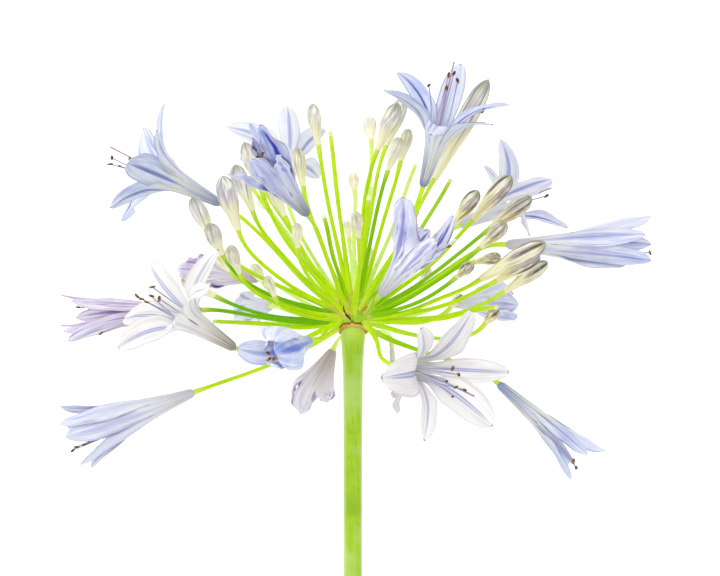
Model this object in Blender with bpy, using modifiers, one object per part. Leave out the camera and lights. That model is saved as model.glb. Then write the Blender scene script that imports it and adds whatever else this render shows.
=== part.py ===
"""Agapanthus flower stem, cut and laid down.

One green scape carries a round head of stalked flowers and buds. The plant's own frame has its origin where
the stalks spring, with x to the right, y up the scape and z towards the viewer. The whole plant is laid on
its back in that frame's empty: it rests on the cut end of the scape and on two blooms behind the head.
Places and sizes are in millimetres until a mesh is made.
"""

import math
from collections import namedtuple

import bmesh
import bpy
from mathutils import Matrix, Quaternion, Vector

MM = 0.001

# The scape, which flares where the head begins, and the dome on it that all stalks spring from
SCAPE_LENGTH = 300.0
SCAPE_RADIUS = 3.2
RECEPTACLE = Vector((0.0, 2.4, 0.0))
RECEPTACLE_RADIUS = 5.0
FLARE_RADIUS = 4.4
SCAPE_SIDES = 12

# The papery scar round the flare, 0.3 mm clear of it
SCAR_GAP = 0.3
SCAR_THICK = 0.9
SCAR_TOP = -1.3
SCAR_BOTTOM = -2.6

# The flower stalks. ROOT_DEPTH is the share of the dome's radius at which they start, KNEE and HEEL are how
# far along their reach they begin and end their bend, and STALK_TRIALS are the detours tried round a flower.
STALK_RADIUS = 0.85
STALK_END_SWELL = 1.25
STALK_SPANS = 5
STALK_DROOP = 0.28
ROOT_DEPTH = 0.72
KNEE = 0.36
HEEL = 0.26
STALK_TRIALS = (2.0, 4.0, 6.0, 8.0, 11.0)
STALK_CLEARANCE = 0.4
SEAT_GAP = 0.3

# The flowers. The throat's radius is that of a bloom whose petals have the usual width. Petals lie in two
# layers, LAYER_GAP apart, and each row across a petal is at one of PETAL_ROWS' shares of its length.
PETAL_THICK = 0.7
USUAL_WIDTH = 6.0
TUBE_LENGTH = 16.0
TUBE_FOOT_RADIUS = 1.8
TUBE_FOOT_HEIGHT = 1.4
TUBE_WAIST_RADIUS = 2.6
THROAT_RADIUS = 3.6
PETAL_ROWS = (0.26, 0.56, 0.84)
PETAL_WIDEST = 0.56
PETAL_CUP = 0.22
LAYER_GAP = 1.0
STAMEN_RADIUS = 0.45
STAMEN_SEAT = 0.97
ANTHER_RADIUS = 0.8
SHORT_STYLE = 6.0
BUD_FOOT_RADIUS = 1.3

# How the plant lies: the height of the head's centre over the surface, its place on the surface, and how
# much is cut off the scape's end where it touches
HEAD_HEIGHT = 74.4
HEAD_SHIFT = (-0.95, 98.2)
REST_FLAT = 0.6
TILT = math.asin((HEAD_HEIGHT - SCAPE_RADIUS + REST_FLAT) / SCAPE_LENGTH)

SCAPE_GREEN = (0.40, 0.58, 0.04, 1.0)
SCAR_BROWN = (0.36, 0.17, 0.04, 1.0)
BUD_CREAM = (0.62, 0.60, 0.50, 1.0)
LAVENDER = (0.58, 0.62, 0.86, 1.0)
IVORY = (0.86, 0.84, 0.80, 1.0)
BLUE_VIOLET = (0.30, 0.36, 0.76, 1.0)
WILTED_VIOLET = (0.42, 0.32, 0.56, 1.0)
PALE = (0.78, 0.78, 0.92, 1.0)

# A bloom's foot is where its stalk ends; mouth gives the way its tube points; width is its petals' widest.
# Each of its petals is its tip's place, then, where they differ from the bloom's, its width and its twist.
Bloom = namedtuple("Bloom", "name foot mouth width colour petals anthers style")
Petal = namedtuple("Petal", "tip width twist")
Bud = namedtuple("Bud", "foot tip radius")

BLOOMS = [
    Bloom("upper_left", (-46, 43, -4), (-71, 56, 2), 6.0, LAVENDER,
          [(-66, 80, -11), (-74, 72, -20), (-67, 68, 22), (-74, 55, 25), (-84, 41, 15), (-83, 37, -19)],
          [(-84, 59, 4), (-85, 57, 0), (-81, 56, 8), (-77, 58, 12), (-78, 55, 6)], (-85, 63, 0)),
    Bloom("upper_front", (-15, 38, 36), (-29, 55, 62), 7.0, BLUE_VIOLET,
          [(-29, 67, 62, 9.0), (-33, 69, 52, 4.5), (-33, 63, 60, 4.5), (-41, 51, 62, 4.5), (-32, 55, 76, 7.5),
           (-24, 56, 78, 6.0)],
          [(-31, 58, 70), (-29, 56, 72), (-30, 56, 66)], None),
    Bloom("upper_back", (-24, 48, -30), (-24, 62, -48), 6.5, PALE,
          [(-48, 74, -62), (-25, 82, -66), (-10, 73, -66), (-13, 55, -70), (-35, 48, -72), (-43, 62, -70)],
          [], None),
    Bloom("top_right", (24, 48, 10), (30, 69, 14), 5.5, LAVENDER,
          [(10, 81, 29), (15, 89, 0), (38, 93, -6, 8.0), (55, 77, 6), (48, 69, 30), (26, 65, 38, 7.0)],
          [(26, 83, 20), (33, 87, 14), (35, 88, 8), (36, 85, 16), (32, 82, 22), (45, 75, 10)], (35, 92, 10)),
    Bloom("right_back", (38, 36, -30), (58, 45, -36), 6.5, PALE,
          [(54, 69, -49), (48, 59, -52), (73, 53, -40), (77, 35, -22), (63, 32, -14), (62, 41, -60)],
          [(70, 47, -32)], (72, 50, -34)),
    Bloom("right", (53, 29, -4), (90, 28, -2), 6.0, LAVENDER,
          [(105, 39, -2), (102, 32, 8), (104, 23, 8), (94, 21, 0), (103, 25, -11), (106, 29, -10)],
          [(104, 26, 0)], None),
    Bloom("centre_front", (9, 11, 44), (24, 30, 66), 8.0, LAVENDER,
          [(16, 43, 76, 10.0, 25), (21, 36, 50, 6.0), (33, 38, 56, 6.5), (34, 30, 68, 5.0), (27, 29, 82),
           (26, 33, 46, 6.0)],
          [(31, 27, 74)], None),
    Bloom("left_front", (-39, -7, 34), (-56, 4, 40), 6.5, IVORY,
          [(-69, 22, 20, 7.5), (-44, 27, 46, 4.5), (-46, 15, 62, 6.0), (-58, 1, 67, 5.0), (-77, -5, 42, 5.5),
           (-79, 3, 20, 7.5)],
          [(-67, 14, 40), (-67, 11, 44), (-65, 10, 36), (-72, 11, 42), (-70, 10, 48), (-68, 9, 50)], None),
    Bloom("far_left", (-52, 6, 6), (-95, 4, 6), 4.5, WILTED_VIOLET,
          [(-104, 12, 0), (-98, 9, 10), (-103, 1, 6), (-99, -5, 12), (-98, 3, -6), (-102, -2, -4)],
          [(-95, 7, 10), (-87, -2, 12)], None),
    Bloom("lower_left", (-54, -22, 14), (-94, -37, 18), 6.5, LAVENDER,
          [(-102, -27, 10), (-100, -33, 24), (-98, -37, 26), (-94, -47, 20), (-91, -49, 6), (-100, -35, 2)],
          [(-91, -38, 18), (-92, -40, 20), (-95, -41, 16), (-96, -42, 18)], None),
    Bloom("front", (-14, -4, 38), (-26, -8, 66), 7.5, BLUE_VIOLET,
          [(-38, -6, 60), (-29, -2, 58), (-25, -3, 80, 9.0), (-18, -11, 76, 9.0), (-23, -12, 82, 5.0),
           (-30, -10, 74, 5.0)],
          [(-26, -7, 74), (-24, -8, 76), (-26, -10, 72)], None),
    Bloom("hanging", (-7, -8, -34), (-15, -25, -44), 4.8, WILTED_VIOLET,
          [(-20, -33, -46), (-22, -29, -42), (-10, -28, -50), (-14, -27, -38), (-8, -22, -44),
           (-17, -31, -54)],
          [], None),
    Bloom("lower_front", (13, -12, 40), (26, -14, 68), 8.0, IVORY,
          [(10, -15, 80, 11.0), (22, 1, 74, 7.0), (39, 7, 62), (52, -14, 56), (44, -32, 62, 9.0),
           (23, -36, 74, 6.5)],
          [(32, -12, 80), (34, -14, 78), (30, -16, 82), (33, -18, 80), (36, -19, 76), (32, -21, 80)],
          (39, -21, 76)),
    Bloom("lower_right", (50, -19, 6), (82, -47, 6), 6.0, LAVENDER,
          [(88, -43, 6), (82, -44, 16), (83, -45, -6), (76, -53, 8), (84, -48, -8), (78, -50, 14)],
          [(76, -46, 10), (77, -48, 8)], None),
    Bloom("right_low_back", (36, 8, -34), (52, 9, -58), 6.5, BLUE_VIOLET,
          [(62, 7, -62), (61, 2, -66), (57, 15, -58), (54, 4, -78), (50, 13, -78), (60, 11, -74)],
          [], None),
    Bloom("left_low_back", (-34, 17, -34), (-57, 20, -58), 6.0, WILTED_VIOLET,
          [(-66, 21, -62), (-66, 18, -68), (-58, 26, -60), (-63, 23, -74), (-55, 15, -70), (-58, 18, -81.5)],
          [], None),
    Bloom("left_back", (-30, 7, -36), (-39, 6, -60), 6.0, PALE,
          [(-45, 5, -66), (-42, 11, -64), (-35, 1, -68), (-39, 9, -72), (-32, 10, -70), (-43, 2, -72)],
          [], None),
    Bloom("withered", (14, -7, -40), (15, -20, -50), 3.0, WILTED_VIOLET,
          [(16, -33, -54), (14, -27, -50), (17, -27, -60)], [], None),
]

BUDS = [
    Bud((-12.0, 63.0, 6), (-14.0, 77.5, 10), 2.6),
    Bud((-17.5, 49.0, -4), (-20.0, 63.0, -2), 2.6),
    Bud((6.5, 66.5, -28), (6.0, 75.5, -38), 2.6),
    Bud((8.5, 61.5, 8), (15.5, 77.5, 14), 3.1),
    Bud((11.5, 63.5, -6), (18.0, 81.0, -8), 3.0),
    Bud((12.0, 54.0, 14), (16.0, 65.0, 22), 2.5),
    Bud((16.5, 57.5, 0), (19.5, 69.5, 0), 2.4),
    Bud((0.5, 48.5, -36), (0.0, 55.5, -48), 2.1),
    Bud((5.5, 43.5, -34), (7.5, 50.5, -44), 1.8),
    Bud((-39.0, 33.5, 24), (-44.0, 51.5, 32), 3.7),
    Bud((-34.5, 40.0, 14), (-40.5, 56.0, 18), 3.2),
    Bud((-32.5, 49.0, 2), (-38.0, 64.5, 4), 2.9),
    Bud((-23.5, 38.0, 2), (-28.5, 48.5, 2), 2.3),
    Bud((-18.5, 27.0, 36), (-18.5, 35.0, 46), 2.0),
    Bud((-48.0, 29.5, 8), (-56.0, 45.0, 8), 3.1),
    Bud((-44.5, 25.0, 22), (-49.0, 35.5, 28), 3.0),
    Bud((-38.0, 18.5, 34), (-41.0, 27.5, 44), 2.5),
    Bud((-42.0, 19.0, 8), (-48.0, 24.5, 6), 1.8),
    Bud((-48.0, 10.5, -4), (-60.5, 17.0, -6), 2.7),
    Bud((-31.5, 15.0, -14), (-36.0, 22.0, -20), 2.3),
    Bud((-26.5, 10.5, 26), (-29.0, 17.5, 36), 1.9),
    Bud((-30.0, 41.5, -32), (-34.5, 46.5, -42), 2.0),
    Bud((2.0, 30.5, 42), (1.0, 38.5, 54), 2.2),
    Bud((-1.5, 31.0, -34), (-2.5, 38.0, -44), 1.8),
    Bud((5.0, 21.5, -40), (6.0, 28.5, -50), 1.8),
    Bud((34.0, 35.0, 16), (43.0, 47.0, 20), 2.9),
    Bud((41.5, 37.0, 8), (55.0, 52.5, 10), 3.4),
    Bud((48.0, 34.5, -4), (63.0, 46.0, -8), 3.2),
    Bud((43.5, 27.5, 22), (52.0, 36.0, 28), 2.8),
    Bud((41.5, 22.5, 14), (51.0, 24.5, 16), 2.2),
    Bud((35.0, 17.0, 24), (40.5, 22.0, 30), 2.2),
    Bud((43.5, 16.5, 22), (65.5, 29.0, 28), 3.6),
    Bud((49.5, 16.0, 8), (65.0, 25.0, 8), 3.0),
    Bud((53.0, 12.0, -8), (69.0, 23.0, -12), 2.8),
    Bud((46.0, 0.5, -6), (51.0, 6.5, -8), 2.4),
    Bud((34.0, 6.0, -14), (39.0, 11.0, -20), 1.8),
    Bud((21.0, 37.0, -30), (23.0, 42.5, -38), 1.7),
    Bud((24.5, 15.5, -38), (28.0, 21.0, -48), 1.7),
    Bud((28.5, 52.0, -8), (48.0, 87.5, -10), 3.9),
]

# Where the stalks end whose flower has dropped or was cut off
BARE_STALKS = [
    (-8.0, 68.0, 8), (34.5, 52.0, -8), (-10.0, 38.5, 30), (-36.5, 50.0, -14), (-32.0, 49.0, -10),
    (-49.0, 2.0, 2), (-32.0, 1.0, -12), (5.5, 45.0, 18), (50.0, 7.0, 12), (22.5, 58.0, -30),
]

RESTING_BLOOMS = ("right_low_back", "left_low_back")


def clear_scene():
    for obj in list(bpy.data.objects):
        bpy.data.objects.remove(obj)


def make_material(name, colour, roughness=0.55):
    material = bpy.data.materials.new(name)
    material.use_nodes = True
    shader = material.node_tree.nodes["Principled BSDF"]
    shader.inputs["Base Color"].default_value = colour
    shader.inputs["Roughness"].default_value = roughness
    return material


def collection_named(name):
    collection = bpy.data.collections.new(name)
    bpy.context.scene.collection.children.link(collection)
    return collection


def add_object(name, mesh, collection, material=None):
    obj = bpy.data.objects.new(name, mesh)
    collection.objects.link(obj)
    if material:
        mesh.materials.append(material)
    return obj


def bake(obj):
    """Turns the object's modifiers, or its curve, into a plain mesh in the same place."""
    graph = bpy.context.evaluated_depsgraph_get()
    mesh = bpy.data.meshes.new_from_object(obj.evaluated_get(graph))
    shape = bmesh.new()
    shape.from_mesh(mesh)
    bmesh.ops.remove_doubles(shape, verts=shape.verts, dist=1e-6)
    bmesh.ops.recalc_face_normals(shape, faces=shape.faces)
    shape.to_mesh(mesh)
    shape.free()
    return mesh


def turned(name, profile, steps, collection, material=None):
    """A solid turned about +Z from (radius, height) pairs that run from its top down."""
    mesh = bpy.data.meshes.new(name)
    points = [(radius * MM, 0.0, height * MM) for radius, height in profile]
    mesh.from_pydata(points, [(i, i + 1) for i in range(len(points) - 1)], [])
    obj = add_object(name, mesh, collection, material)
    screw = obj.modifiers.new("Turn", "SCREW")
    screw.axis = "Z"
    screw.steps = steps
    screw.render_steps = steps
    screw.use_merge_vertices = True
    screw.merge_threshold = 1e-5
    screw.use_smooth_shade = True
    return obj


def rod(name, points, radii, collection):
    """A four-sided rod through the points, as a plain mesh."""
    curve = bpy.data.curves.new(name, "CURVE")
    curve.dimensions = "3D"
    curve.bevel_depth = MM
    curve.bevel_resolution = 0
    curve.use_fill_caps = True
    spline = curve.splines.new("POLY")
    spline.points.add(len(points) - 1)
    for spot, place, radius in zip(spline.points, points, radii):
        spot.co = (*(place * MM), 1.0)
        spot.radius = radius
    guide = bpy.data.objects.new(name, curve)
    collection.objects.link(guide)
    bpy.context.view_layer.update()
    mesh = bake(guide)
    bpy.data.objects.remove(guide)
    return add_object(name, mesh, collection)


def join_with(obj, collection):
    """One Boolean union of the object with all that the collection holds, which is then removed."""
    union = obj.modifiers.new("Join", "BOOLEAN")
    union.operation = "UNION"
    union.operand_type = "COLLECTION"
    union.collection = collection
    union.solver = "EXACT"
    union.use_self = True
    bpy.context.view_layer.update()
    materials = list(obj.data.materials)
    mesh = bake(obj)
    mesh.materials.clear()
    for material in materials:
        mesh.materials.append(material)
    obj.modifiers.clear()
    obj.data = mesh
    for piece in list(collection.objects):
        bpy.data.objects.remove(piece)
    bpy.data.collections.remove(collection)


def quadratic(start, middle, end, t):
    return start * (1 - t) ** 2 + middle * (2 * t * (1 - t)) + end * t**2


def cubic(places, t):
    a, b, c, d = places
    return a * (1 - t) ** 3 + b * (3 * t * (1 - t) ** 2) + c * (3 * t**2 * (1 - t)) + d * t**3


def distance_to_rod(place, start, end):
    along = end - start
    share = max(0.0, min(1.0, (place - start).dot(along) / along.length_squared))
    return (place - start - along * share).length


def stalk_controls(foot, aim, bend):
    """Control points of a stalk: it leaves the receptacle a little low, and ends in line with its flower."""
    out = (foot - RECEPTACLE).normalized()
    reach = (foot - RECEPTACLE).length
    root = RECEPTACLE + out * (RECEPTACLE_RADIUS * ROOT_DEPTH)
    level = Vector((out.x, 0.0, out.z)).length
    start = (out - Vector((0.0, STALK_DROOP * level, 0.0))).normalized()
    knee = root + start * (reach * KNEE) + bend
    heel = foot - aim * (reach * HEEL) + bend * 0.5
    return root, knee, heel, foot


def stalk_route(foot, aim, obstacles):
    """The least bent route for a stalk that keeps clear of every flower but its own."""
    out = (foot - RECEPTACLE).normalized()
    side = out.cross(Vector((0.0, 0.0, 1.0))).normalized()
    over = side.cross(out)
    bends = [Vector()]
    for size in STALK_TRIALS:
        for step in range(8):
            angle = step * math.tau / 8
            bends.append((side * math.cos(angle) + over * math.sin(angle)) * size)
    best = None
    for bend in bends:
        controls = stalk_controls(foot, aim, bend)
        spare = 1.0
        for i in range(2, 24):
            place = cubic(controls, i / 25)
            for start, end, radius in obstacles:
                room = distance_to_rod(place, start, end) - radius - STALK_RADIUS
                spare = min(spare, room - STALK_CLEARANCE)
        if best is None or spare > best[0] + 1e-6:
            best = (spare, controls)
        if spare > 0.0:
            break
    return best[1]


def flower_rods(flower):
    """The room that a flower takes, as (start, end, radius)."""
    foot = Vector(flower.foot)
    if isinstance(flower, Bud):
        return [(foot, Vector(flower.tip), flower.radius)]
    aim = (Vector(flower.mouth) - foot).normalized()
    throat = foot + aim * TUBE_LENGTH
    rods = [(foot, throat, THROAT_RADIUS)]
    rods += [(throat, Vector(petal[:3]), flower.width * 0.5) for petal in flower.petals]
    return rods


def make_scape(flowers, parts, material):
    down = [
        (0.0, 6.4), (2.8, 5.9), (4.5, 4.3), (RECEPTACLE_RADIUS, 2.4), (4.6, 0.6), (FLARE_RADIUS, SCAR_TOP),
        (FLARE_RADIUS, SCAR_BOTTOM), (4.0, -6.0), (3.5, -14.0), (3.25, -30.0),
        (SCAPE_RADIUS, -SCAPE_LENGTH), (0.0, -SCAPE_LENGTH),
    ]
    scape = turned("scape", down, SCAPE_SIDES, parts)
    upright = bake(scape)
    upright.transform(Matrix.Rotation(-math.pi / 2, 4, "X"))
    bpy.data.objects.remove(scape)
    scape = add_object("scape", upright, parts, material)

    stalks = collection_named("stalks")
    for number, flower in enumerate(flowers):
        others = [rod for other in flowers if other is not flower for rod in flower_rods(other)]
        foot = Vector(flower.foot)
        aim = flower_aim(flower)
        controls = stalk_route(foot, aim, others)
        points = [cubic(controls, i / STALK_SPANS) for i in range(STALK_SPANS + 1)]
        end_radius = STALK_RADIUS * STALK_END_SWELL
        radii = [end_radius] + [STALK_RADIUS] * (STALK_SPANS - 1) + [end_radius]
        rod(f"stalk_{number}", points, radii, stalks)
    rods = [room for flower in flowers for room in flower_rods(flower)]
    for number, end in enumerate(BARE_STALKS):
        foot = Vector(end)
        controls = stalk_route(foot, (foot - RECEPTACLE).normalized(), rods)
        points = [cubic(controls, i / STALK_SPANS) for i in range(STALK_SPANS + 1)]
        rod(f"bare_{number}", points, [STALK_RADIUS] * (STALK_SPANS + 1), stalks)
    join_with(scape, stalks)
    return scape


def make_scar(parts, material):
    inner = FLARE_RADIUS + SCAR_GAP
    outer = inner + SCAR_THICK
    middle = (SCAR_TOP + SCAR_BOTTOM) / 2
    ring = [(inner, SCAR_TOP), (outer, SCAR_TOP - 0.2), (outer + 0.2, middle), (outer, SCAR_BOTTOM),
            (inner, SCAR_BOTTOM), (inner, SCAR_TOP)]
    scar = turned("bract_scar", ring, SCAPE_SIDES, parts, material)
    scar.rotation_euler = (-math.pi / 2, 0.0, 0.0)
    return scar


def flower_aim(flower):
    end = flower.tip if isinstance(flower, Bud) else flower.mouth
    return (Vector(end) - Vector(flower.foot)).normalized()


def stand_at(obj, flower):
    """Puts an object that is built along +Z on its stalk, pointing the way that the flower does."""
    obj.location = Vector(flower.foot) * MM
    obj.rotation_mode = "QUATERNION"
    obj.rotation_quaternion = flower_aim(flower).to_track_quat("Z", "Y")


def make_bud(number, bud, parts, material):
    length = (Vector(bud.tip) - Vector(bud.foot)).length
    foot = min(BUD_FOOT_RADIUS, bud.radius * 0.7)
    profile = [
        (0.0, length), (bud.radius * 0.58, length * 0.93), (bud.radius, length * 0.66),
        (bud.radius * 0.74, length * 0.34), (foot, SEAT_GAP + 0.3), (0.0, SEAT_GAP),
    ]
    obj = turned(f"bud_{number:02d}", profile, 6, parts, material)
    stand_at(obj, bud)
    return obj


def petal_half_width(share, root, widest):
    """Half the width of a petal at this share of its length."""
    if share < PETAL_WIDEST:
        part = share / PETAL_WIDEST
        return root + (widest - root) * part * part * (3 - 2 * part)
    part = (share - PETAL_WIDEST) / (1 - PETAL_WIDEST)
    return widest * math.sqrt(max(0.0, 1 - part**1.7))


def petals_of(bloom):
    """The bloom's petals in its own frame, in their order round it."""
    petals = []
    for spec in bloom.petals:
        width = spec[3] if len(spec) > 3 else bloom.width
        twist = math.radians(spec[4]) if len(spec) > 4 else 0.0
        petals.append(Petal(in_flower_frame(bloom, spec[:3]), width, twist))
    return sorted(petals, key=lambda petal: math.atan2(petal.tip.y, petal.tip.x))


def in_flower_frame(flower, place):
    turn = flower_aim(flower).to_track_quat("Z", "Y").inverted()
    return turn @ (Vector(place) - Vector(flower.foot))


def petal_turn(petals):
    """The angle of the first petal that suits all the tips best, when the petals are evenly spaced."""
    step = math.tau / len(petals)
    total = Vector((0.0, 0.0))
    for number, petal in enumerate(petals):
        angle = math.atan2(petal.tip.y, petal.tip.x) - number * step
        total += Vector((math.cos(angle), math.sin(angle)))
    return math.atan2(total.y, total.x)


def make_bloom(bloom, parts, material):
    """Tube and petals are one thin sheet, given its thickness; the stamens grow from its throat."""
    throat = Vector((0.0, 0.0, TUBE_LENGTH))
    petals = petals_of(bloom)
    first = petal_turn(petals)
    count = len(petals)
    step = math.tau / count

    sheet = bmesh.new()

    def ring(radius, height):
        spots = []
        for i in range(2 * count):
            angle = first + (i - 1) * step / 2
            spots.append(sheet.verts.new((radius * math.cos(angle), radius * math.sin(angle), height)))
        return spots

    base = SEAT_GAP + PETAL_THICK / 2
    pole = sheet.verts.new((0.0, 0.0, base))
    throat_radius = THROAT_RADIUS * (0.6 + 0.4 * bloom.width / USUAL_WIDTH)
    rings = [
        ring(TUBE_FOOT_RADIUS, base + TUBE_FOOT_HEIGHT),
        ring(TUBE_WAIST_RADIUS, TUBE_LENGTH * 0.5),
        ring(throat_radius, TUBE_LENGTH),
    ]
    for i in range(2 * count):
        j = (i + 1) % (2 * count)
        sheet.faces.new((pole, rings[0][j], rings[0][i]))
        for low, high in zip(rings, rings[1:]):
            sheet.faces.new((low[i], low[j], high[j], high[i]))

    rim = rings[-1]
    flare = Vector((0.0, 0.0, TUBE_LENGTH * 0.5))
    for number, (tip, width, twist) in enumerate(petals):
        angle = first + number * step
        outward = Vector((math.cos(angle), math.sin(angle), 0.0))
        across = Vector((-math.sin(angle), math.cos(angle), 0.0))
        root = throat + outward * throat_radius
        slope = (outward * (throat_radius - TUBE_WAIST_RADIUS) + flare).normalized()
        bend = root + slope * ((tip - root).length * 0.5)
        layer = (0.5 if number % 2 else -0.5) * LAYER_GAP
        half_root = throat_radius * math.sin(step / 2)
        last = [rim[2 * number], rim[2 * number + 1], rim[(2 * number + 2) % (2 * count)]]
        for share in PETAL_ROWS:
            place = quadratic(root, bend, tip, share)
            along = (quadratic(root, bend, tip, share + 0.02) - place).normalized()
            side = (across - along * across.dot(along)).normalized()
            inward = side.cross(along)
            if inward.dot(outward) > 0:
                inward.negate()
            turn = Quaternion(along, twist * share)
            side, inward = turn @ side, turn @ inward
            half = petal_half_width(share, half_root, width / 2)
            centre = place - inward * layer
            row = [sheet.verts.new(centre - side * half + inward * (PETAL_CUP * half)),
                   sheet.verts.new(centre),
                   sheet.verts.new(centre + side * half + inward * (PETAL_CUP * half))]
            for i in (0, 1):
                sheet.faces.new((last[i], last[i + 1], row[i + 1], row[i]))
            last = row
        end = sheet.verts.new(tip)
        sheet.faces.new((last[0], last[1], end))
        sheet.faces.new((last[1], last[2], end))

    bmesh.ops.triangulate(sheet, faces=sheet.faces)
    bmesh.ops.scale(sheet, vec=(MM, MM, MM), verts=sheet.verts)
    bmesh.ops.recalc_face_normals(sheet, faces=sheet.faces)
    mesh = bpy.data.meshes.new(bloom.name)
    sheet.to_mesh(mesh)
    sheet.free()
    obj = add_object(f"bloom_{bloom.name}", mesh, parts, material)
    solid = obj.modifiers.new("Thickness", "SOLIDIFY")
    solid.thickness = PETAL_THICK * MM
    solid.offset = 0.0

    rods = collection_named(f"stamens_{bloom.name}")
    for number, anther in enumerate(bloom.anthers):
        end = in_flower_frame(bloom, anther)
        angle = math.atan2(end.y, end.x)
        root = throat + Vector((math.cos(angle), math.sin(angle), 0.0)) * (throat_radius * STAMEN_SEAT)
        bend = root + Vector((0.0, 0.0, (end - root).length * 0.5))
        points = [quadratic(root, bend, end, t) for t in (0.0, 0.5, 0.92, 1.0)]
        rod(f"{bloom.name}_stamen_{number}", points,
            [STAMEN_RADIUS, STAMEN_RADIUS, STAMEN_RADIUS, ANTHER_RADIUS], rods)
    style = throat + Vector((0.0, 0.0, SHORT_STYLE))
    if bloom.style:
        style = in_flower_frame(bloom, bloom.style)
    start = Vector((0.0, 0.0, base))
    points = [quadratic(start, throat, style, t) for t in (0.0, 0.55, 1.0)]
    rod(f"{bloom.name}_style", points, [STAMEN_RADIUS] * 3, rods)
    join_with(obj, rods)
    stand_at(obj, bloom)
    return obj


def flatten_where_it_rests(obj):
    """Cuts the object off level with the surface, which leaves a small flat spot to rest on."""
    bpy.context.view_layer.update()
    to_local = obj.matrix_world.inverted()
    level = to_local.to_3x3() @ Vector((0.0, 0.0, 1.0))
    spot = to_local @ Vector((0.0, 0.0, 0.0))
    shape = bmesh.new()
    shape.from_mesh(obj.data)
    faces = list(shape.verts) + list(shape.edges) + list(shape.faces)
    cut = bmesh.ops.bisect_plane(shape, geom=faces, plane_co=spot, plane_no=level, clear_inner=True)
    rim = [edge for edge in cut["geom_cut"] if isinstance(edge, bmesh.types.BMEdge)]
    bmesh.ops.holes_fill(shape, edges=rim)
    bmesh.ops.triangulate(shape, faces=shape.faces)
    shape.to_mesh(obj.data)
    shape.free()


def build():
    clear_scene()
    parts = collection_named("agapanthus_flower_stem")
    laid = bpy.data.objects.new("laid_down", None)
    parts.objects.link(laid)
    laid.location = (HEAD_SHIFT[0] * MM, HEAD_SHIFT[1] * MM, HEAD_HEIGHT * MM)
    laid.rotation_euler = (TILT, 0.0, 0.0)

    nodes = [make_scape(BLOOMS + BUDS, parts, make_material("stem_green", SCAPE_GREEN))]
    nodes.append(make_scar(parts, make_material("papery_brown", SCAR_BROWN, 0.9)))
    bud_material = make_material("bud_cream", BUD_CREAM)
    for number, bud in enumerate(BUDS, 1):
        nodes.append(make_bud(number, bud, parts, bud_material))
    for bloom in BLOOMS:
        nodes.append(make_bloom(bloom, parts, make_material(f"petal_{bloom.name}", bloom.colour)))
    for node in nodes:
        node.parent = laid
    resting = ["scape"] + [f"bloom_{name}" for name in RESTING_BLOOMS]
    for node in nodes:
        if node.name in resting:
            flatten_where_it_rests(node)


build()
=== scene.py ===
"""The looks of the cut agapanthus flower stem: its skin, petals, stamens and buds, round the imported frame.

Places are in millimetres in the plant's own frame, as in the CAD source: the origin is where the stalks
spring, with x to the right, y up the scape and z towards the viewer. LAID carries them into the part's frame.
"""

import math
import random
from collections import namedtuple

import bmesh
import bpy
from mathutils import Matrix, Quaternion, Vector, noise


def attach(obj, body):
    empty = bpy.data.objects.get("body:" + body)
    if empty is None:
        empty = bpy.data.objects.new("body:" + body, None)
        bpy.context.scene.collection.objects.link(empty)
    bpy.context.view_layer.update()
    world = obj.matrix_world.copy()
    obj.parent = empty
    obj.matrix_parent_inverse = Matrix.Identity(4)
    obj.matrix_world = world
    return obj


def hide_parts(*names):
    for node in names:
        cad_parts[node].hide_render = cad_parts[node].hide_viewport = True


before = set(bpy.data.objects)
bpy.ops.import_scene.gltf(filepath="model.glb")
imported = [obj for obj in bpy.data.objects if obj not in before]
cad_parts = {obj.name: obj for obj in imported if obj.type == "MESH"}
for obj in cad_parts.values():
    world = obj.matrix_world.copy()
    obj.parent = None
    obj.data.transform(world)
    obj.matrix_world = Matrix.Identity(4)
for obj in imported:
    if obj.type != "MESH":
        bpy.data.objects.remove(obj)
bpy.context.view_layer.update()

MM = 0.001

# How the plant lies, as in the CAD source
SCAPE_LENGTH = 300.0
SCAPE_RADIUS = 3.2
HEAD_HEIGHT = 74.4
HEAD_SHIFT = (-0.95, 98.2)
REST_FLAT = 0.6
TILT = math.asin((HEAD_HEIGHT - SCAPE_RADIUS + REST_FLAT) / SCAPE_LENGTH)
HEAD_PLACE = Vector((*HEAD_SHIFT, HEAD_HEIGHT)) * MM
LAID = Matrix.Translation(HEAD_PLACE) @ Matrix.Rotation(TILT, 4, "X")

# The photograph is 720 x 576. It sees 0.35 mm in each pixel at the head's middle, from 900 mm away.
PICTURE_WIDTH = 720
MM_PER_PIXEL = 0.35
CAMERA_PLACE = Vector((2.45, 13.65, 900.0))
SENSOR_WIDTH = 36.0

# The receptacle and the stalks
RECEPTACLE = Vector((0.0, 2.4, 0.0))
RECEPTACLE_RADIUS = 5.0
FLARE_RADIUS = 4.4
SCAR_BOTTOM = -2.3
SCAR_ARCH = 2.6
STALK_RADIUS = 0.85
STALK_DROOP = 0.28
ROOT_DEPTH = 0.72
KNEE = 0.36
HEEL = 0.26
STALK_TRIALS = (2.0, 4.0, 6.0, 8.0, 11.0)
STALK_CLEARANCE = 0.4
SEAT_GAP = 0.3
STALK_STEPS = 26

# How much of the light a surface returns, of what its colour in the bright picture says
SHADE = 0.8

# The flowers' form
USUAL_WIDTH = 6.0
TUBE_LENGTH = 16.0
TUBE_FOOT_RADIUS = 1.5
TUBE_FOOT_HEIGHT = 1.6
TUBE_WAIST_RADIUS = 2.6
THROAT_RADIUS = 3.6
PETAL_WIDEST = 0.52
PETAL_SPREAD = 1.3
PETAL_CUP = 0.22
LAYER_GAP = 1.0

# How finely a flower is made: columns across a petal, rows up its tube and rows along its lobe
ACROSS = 8
TUBE_ROWS = 7
LOBE_ROWS = 18
TUBE_SHARE = 0.36

Bloom = namedtuple("Bloom", "name foot mouth width look petals anthers style")
Petal = namedtuple("Petal", "tip width twist cup bulge tint")
Bud = namedtuple("Bud", "foot tip radius")

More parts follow.
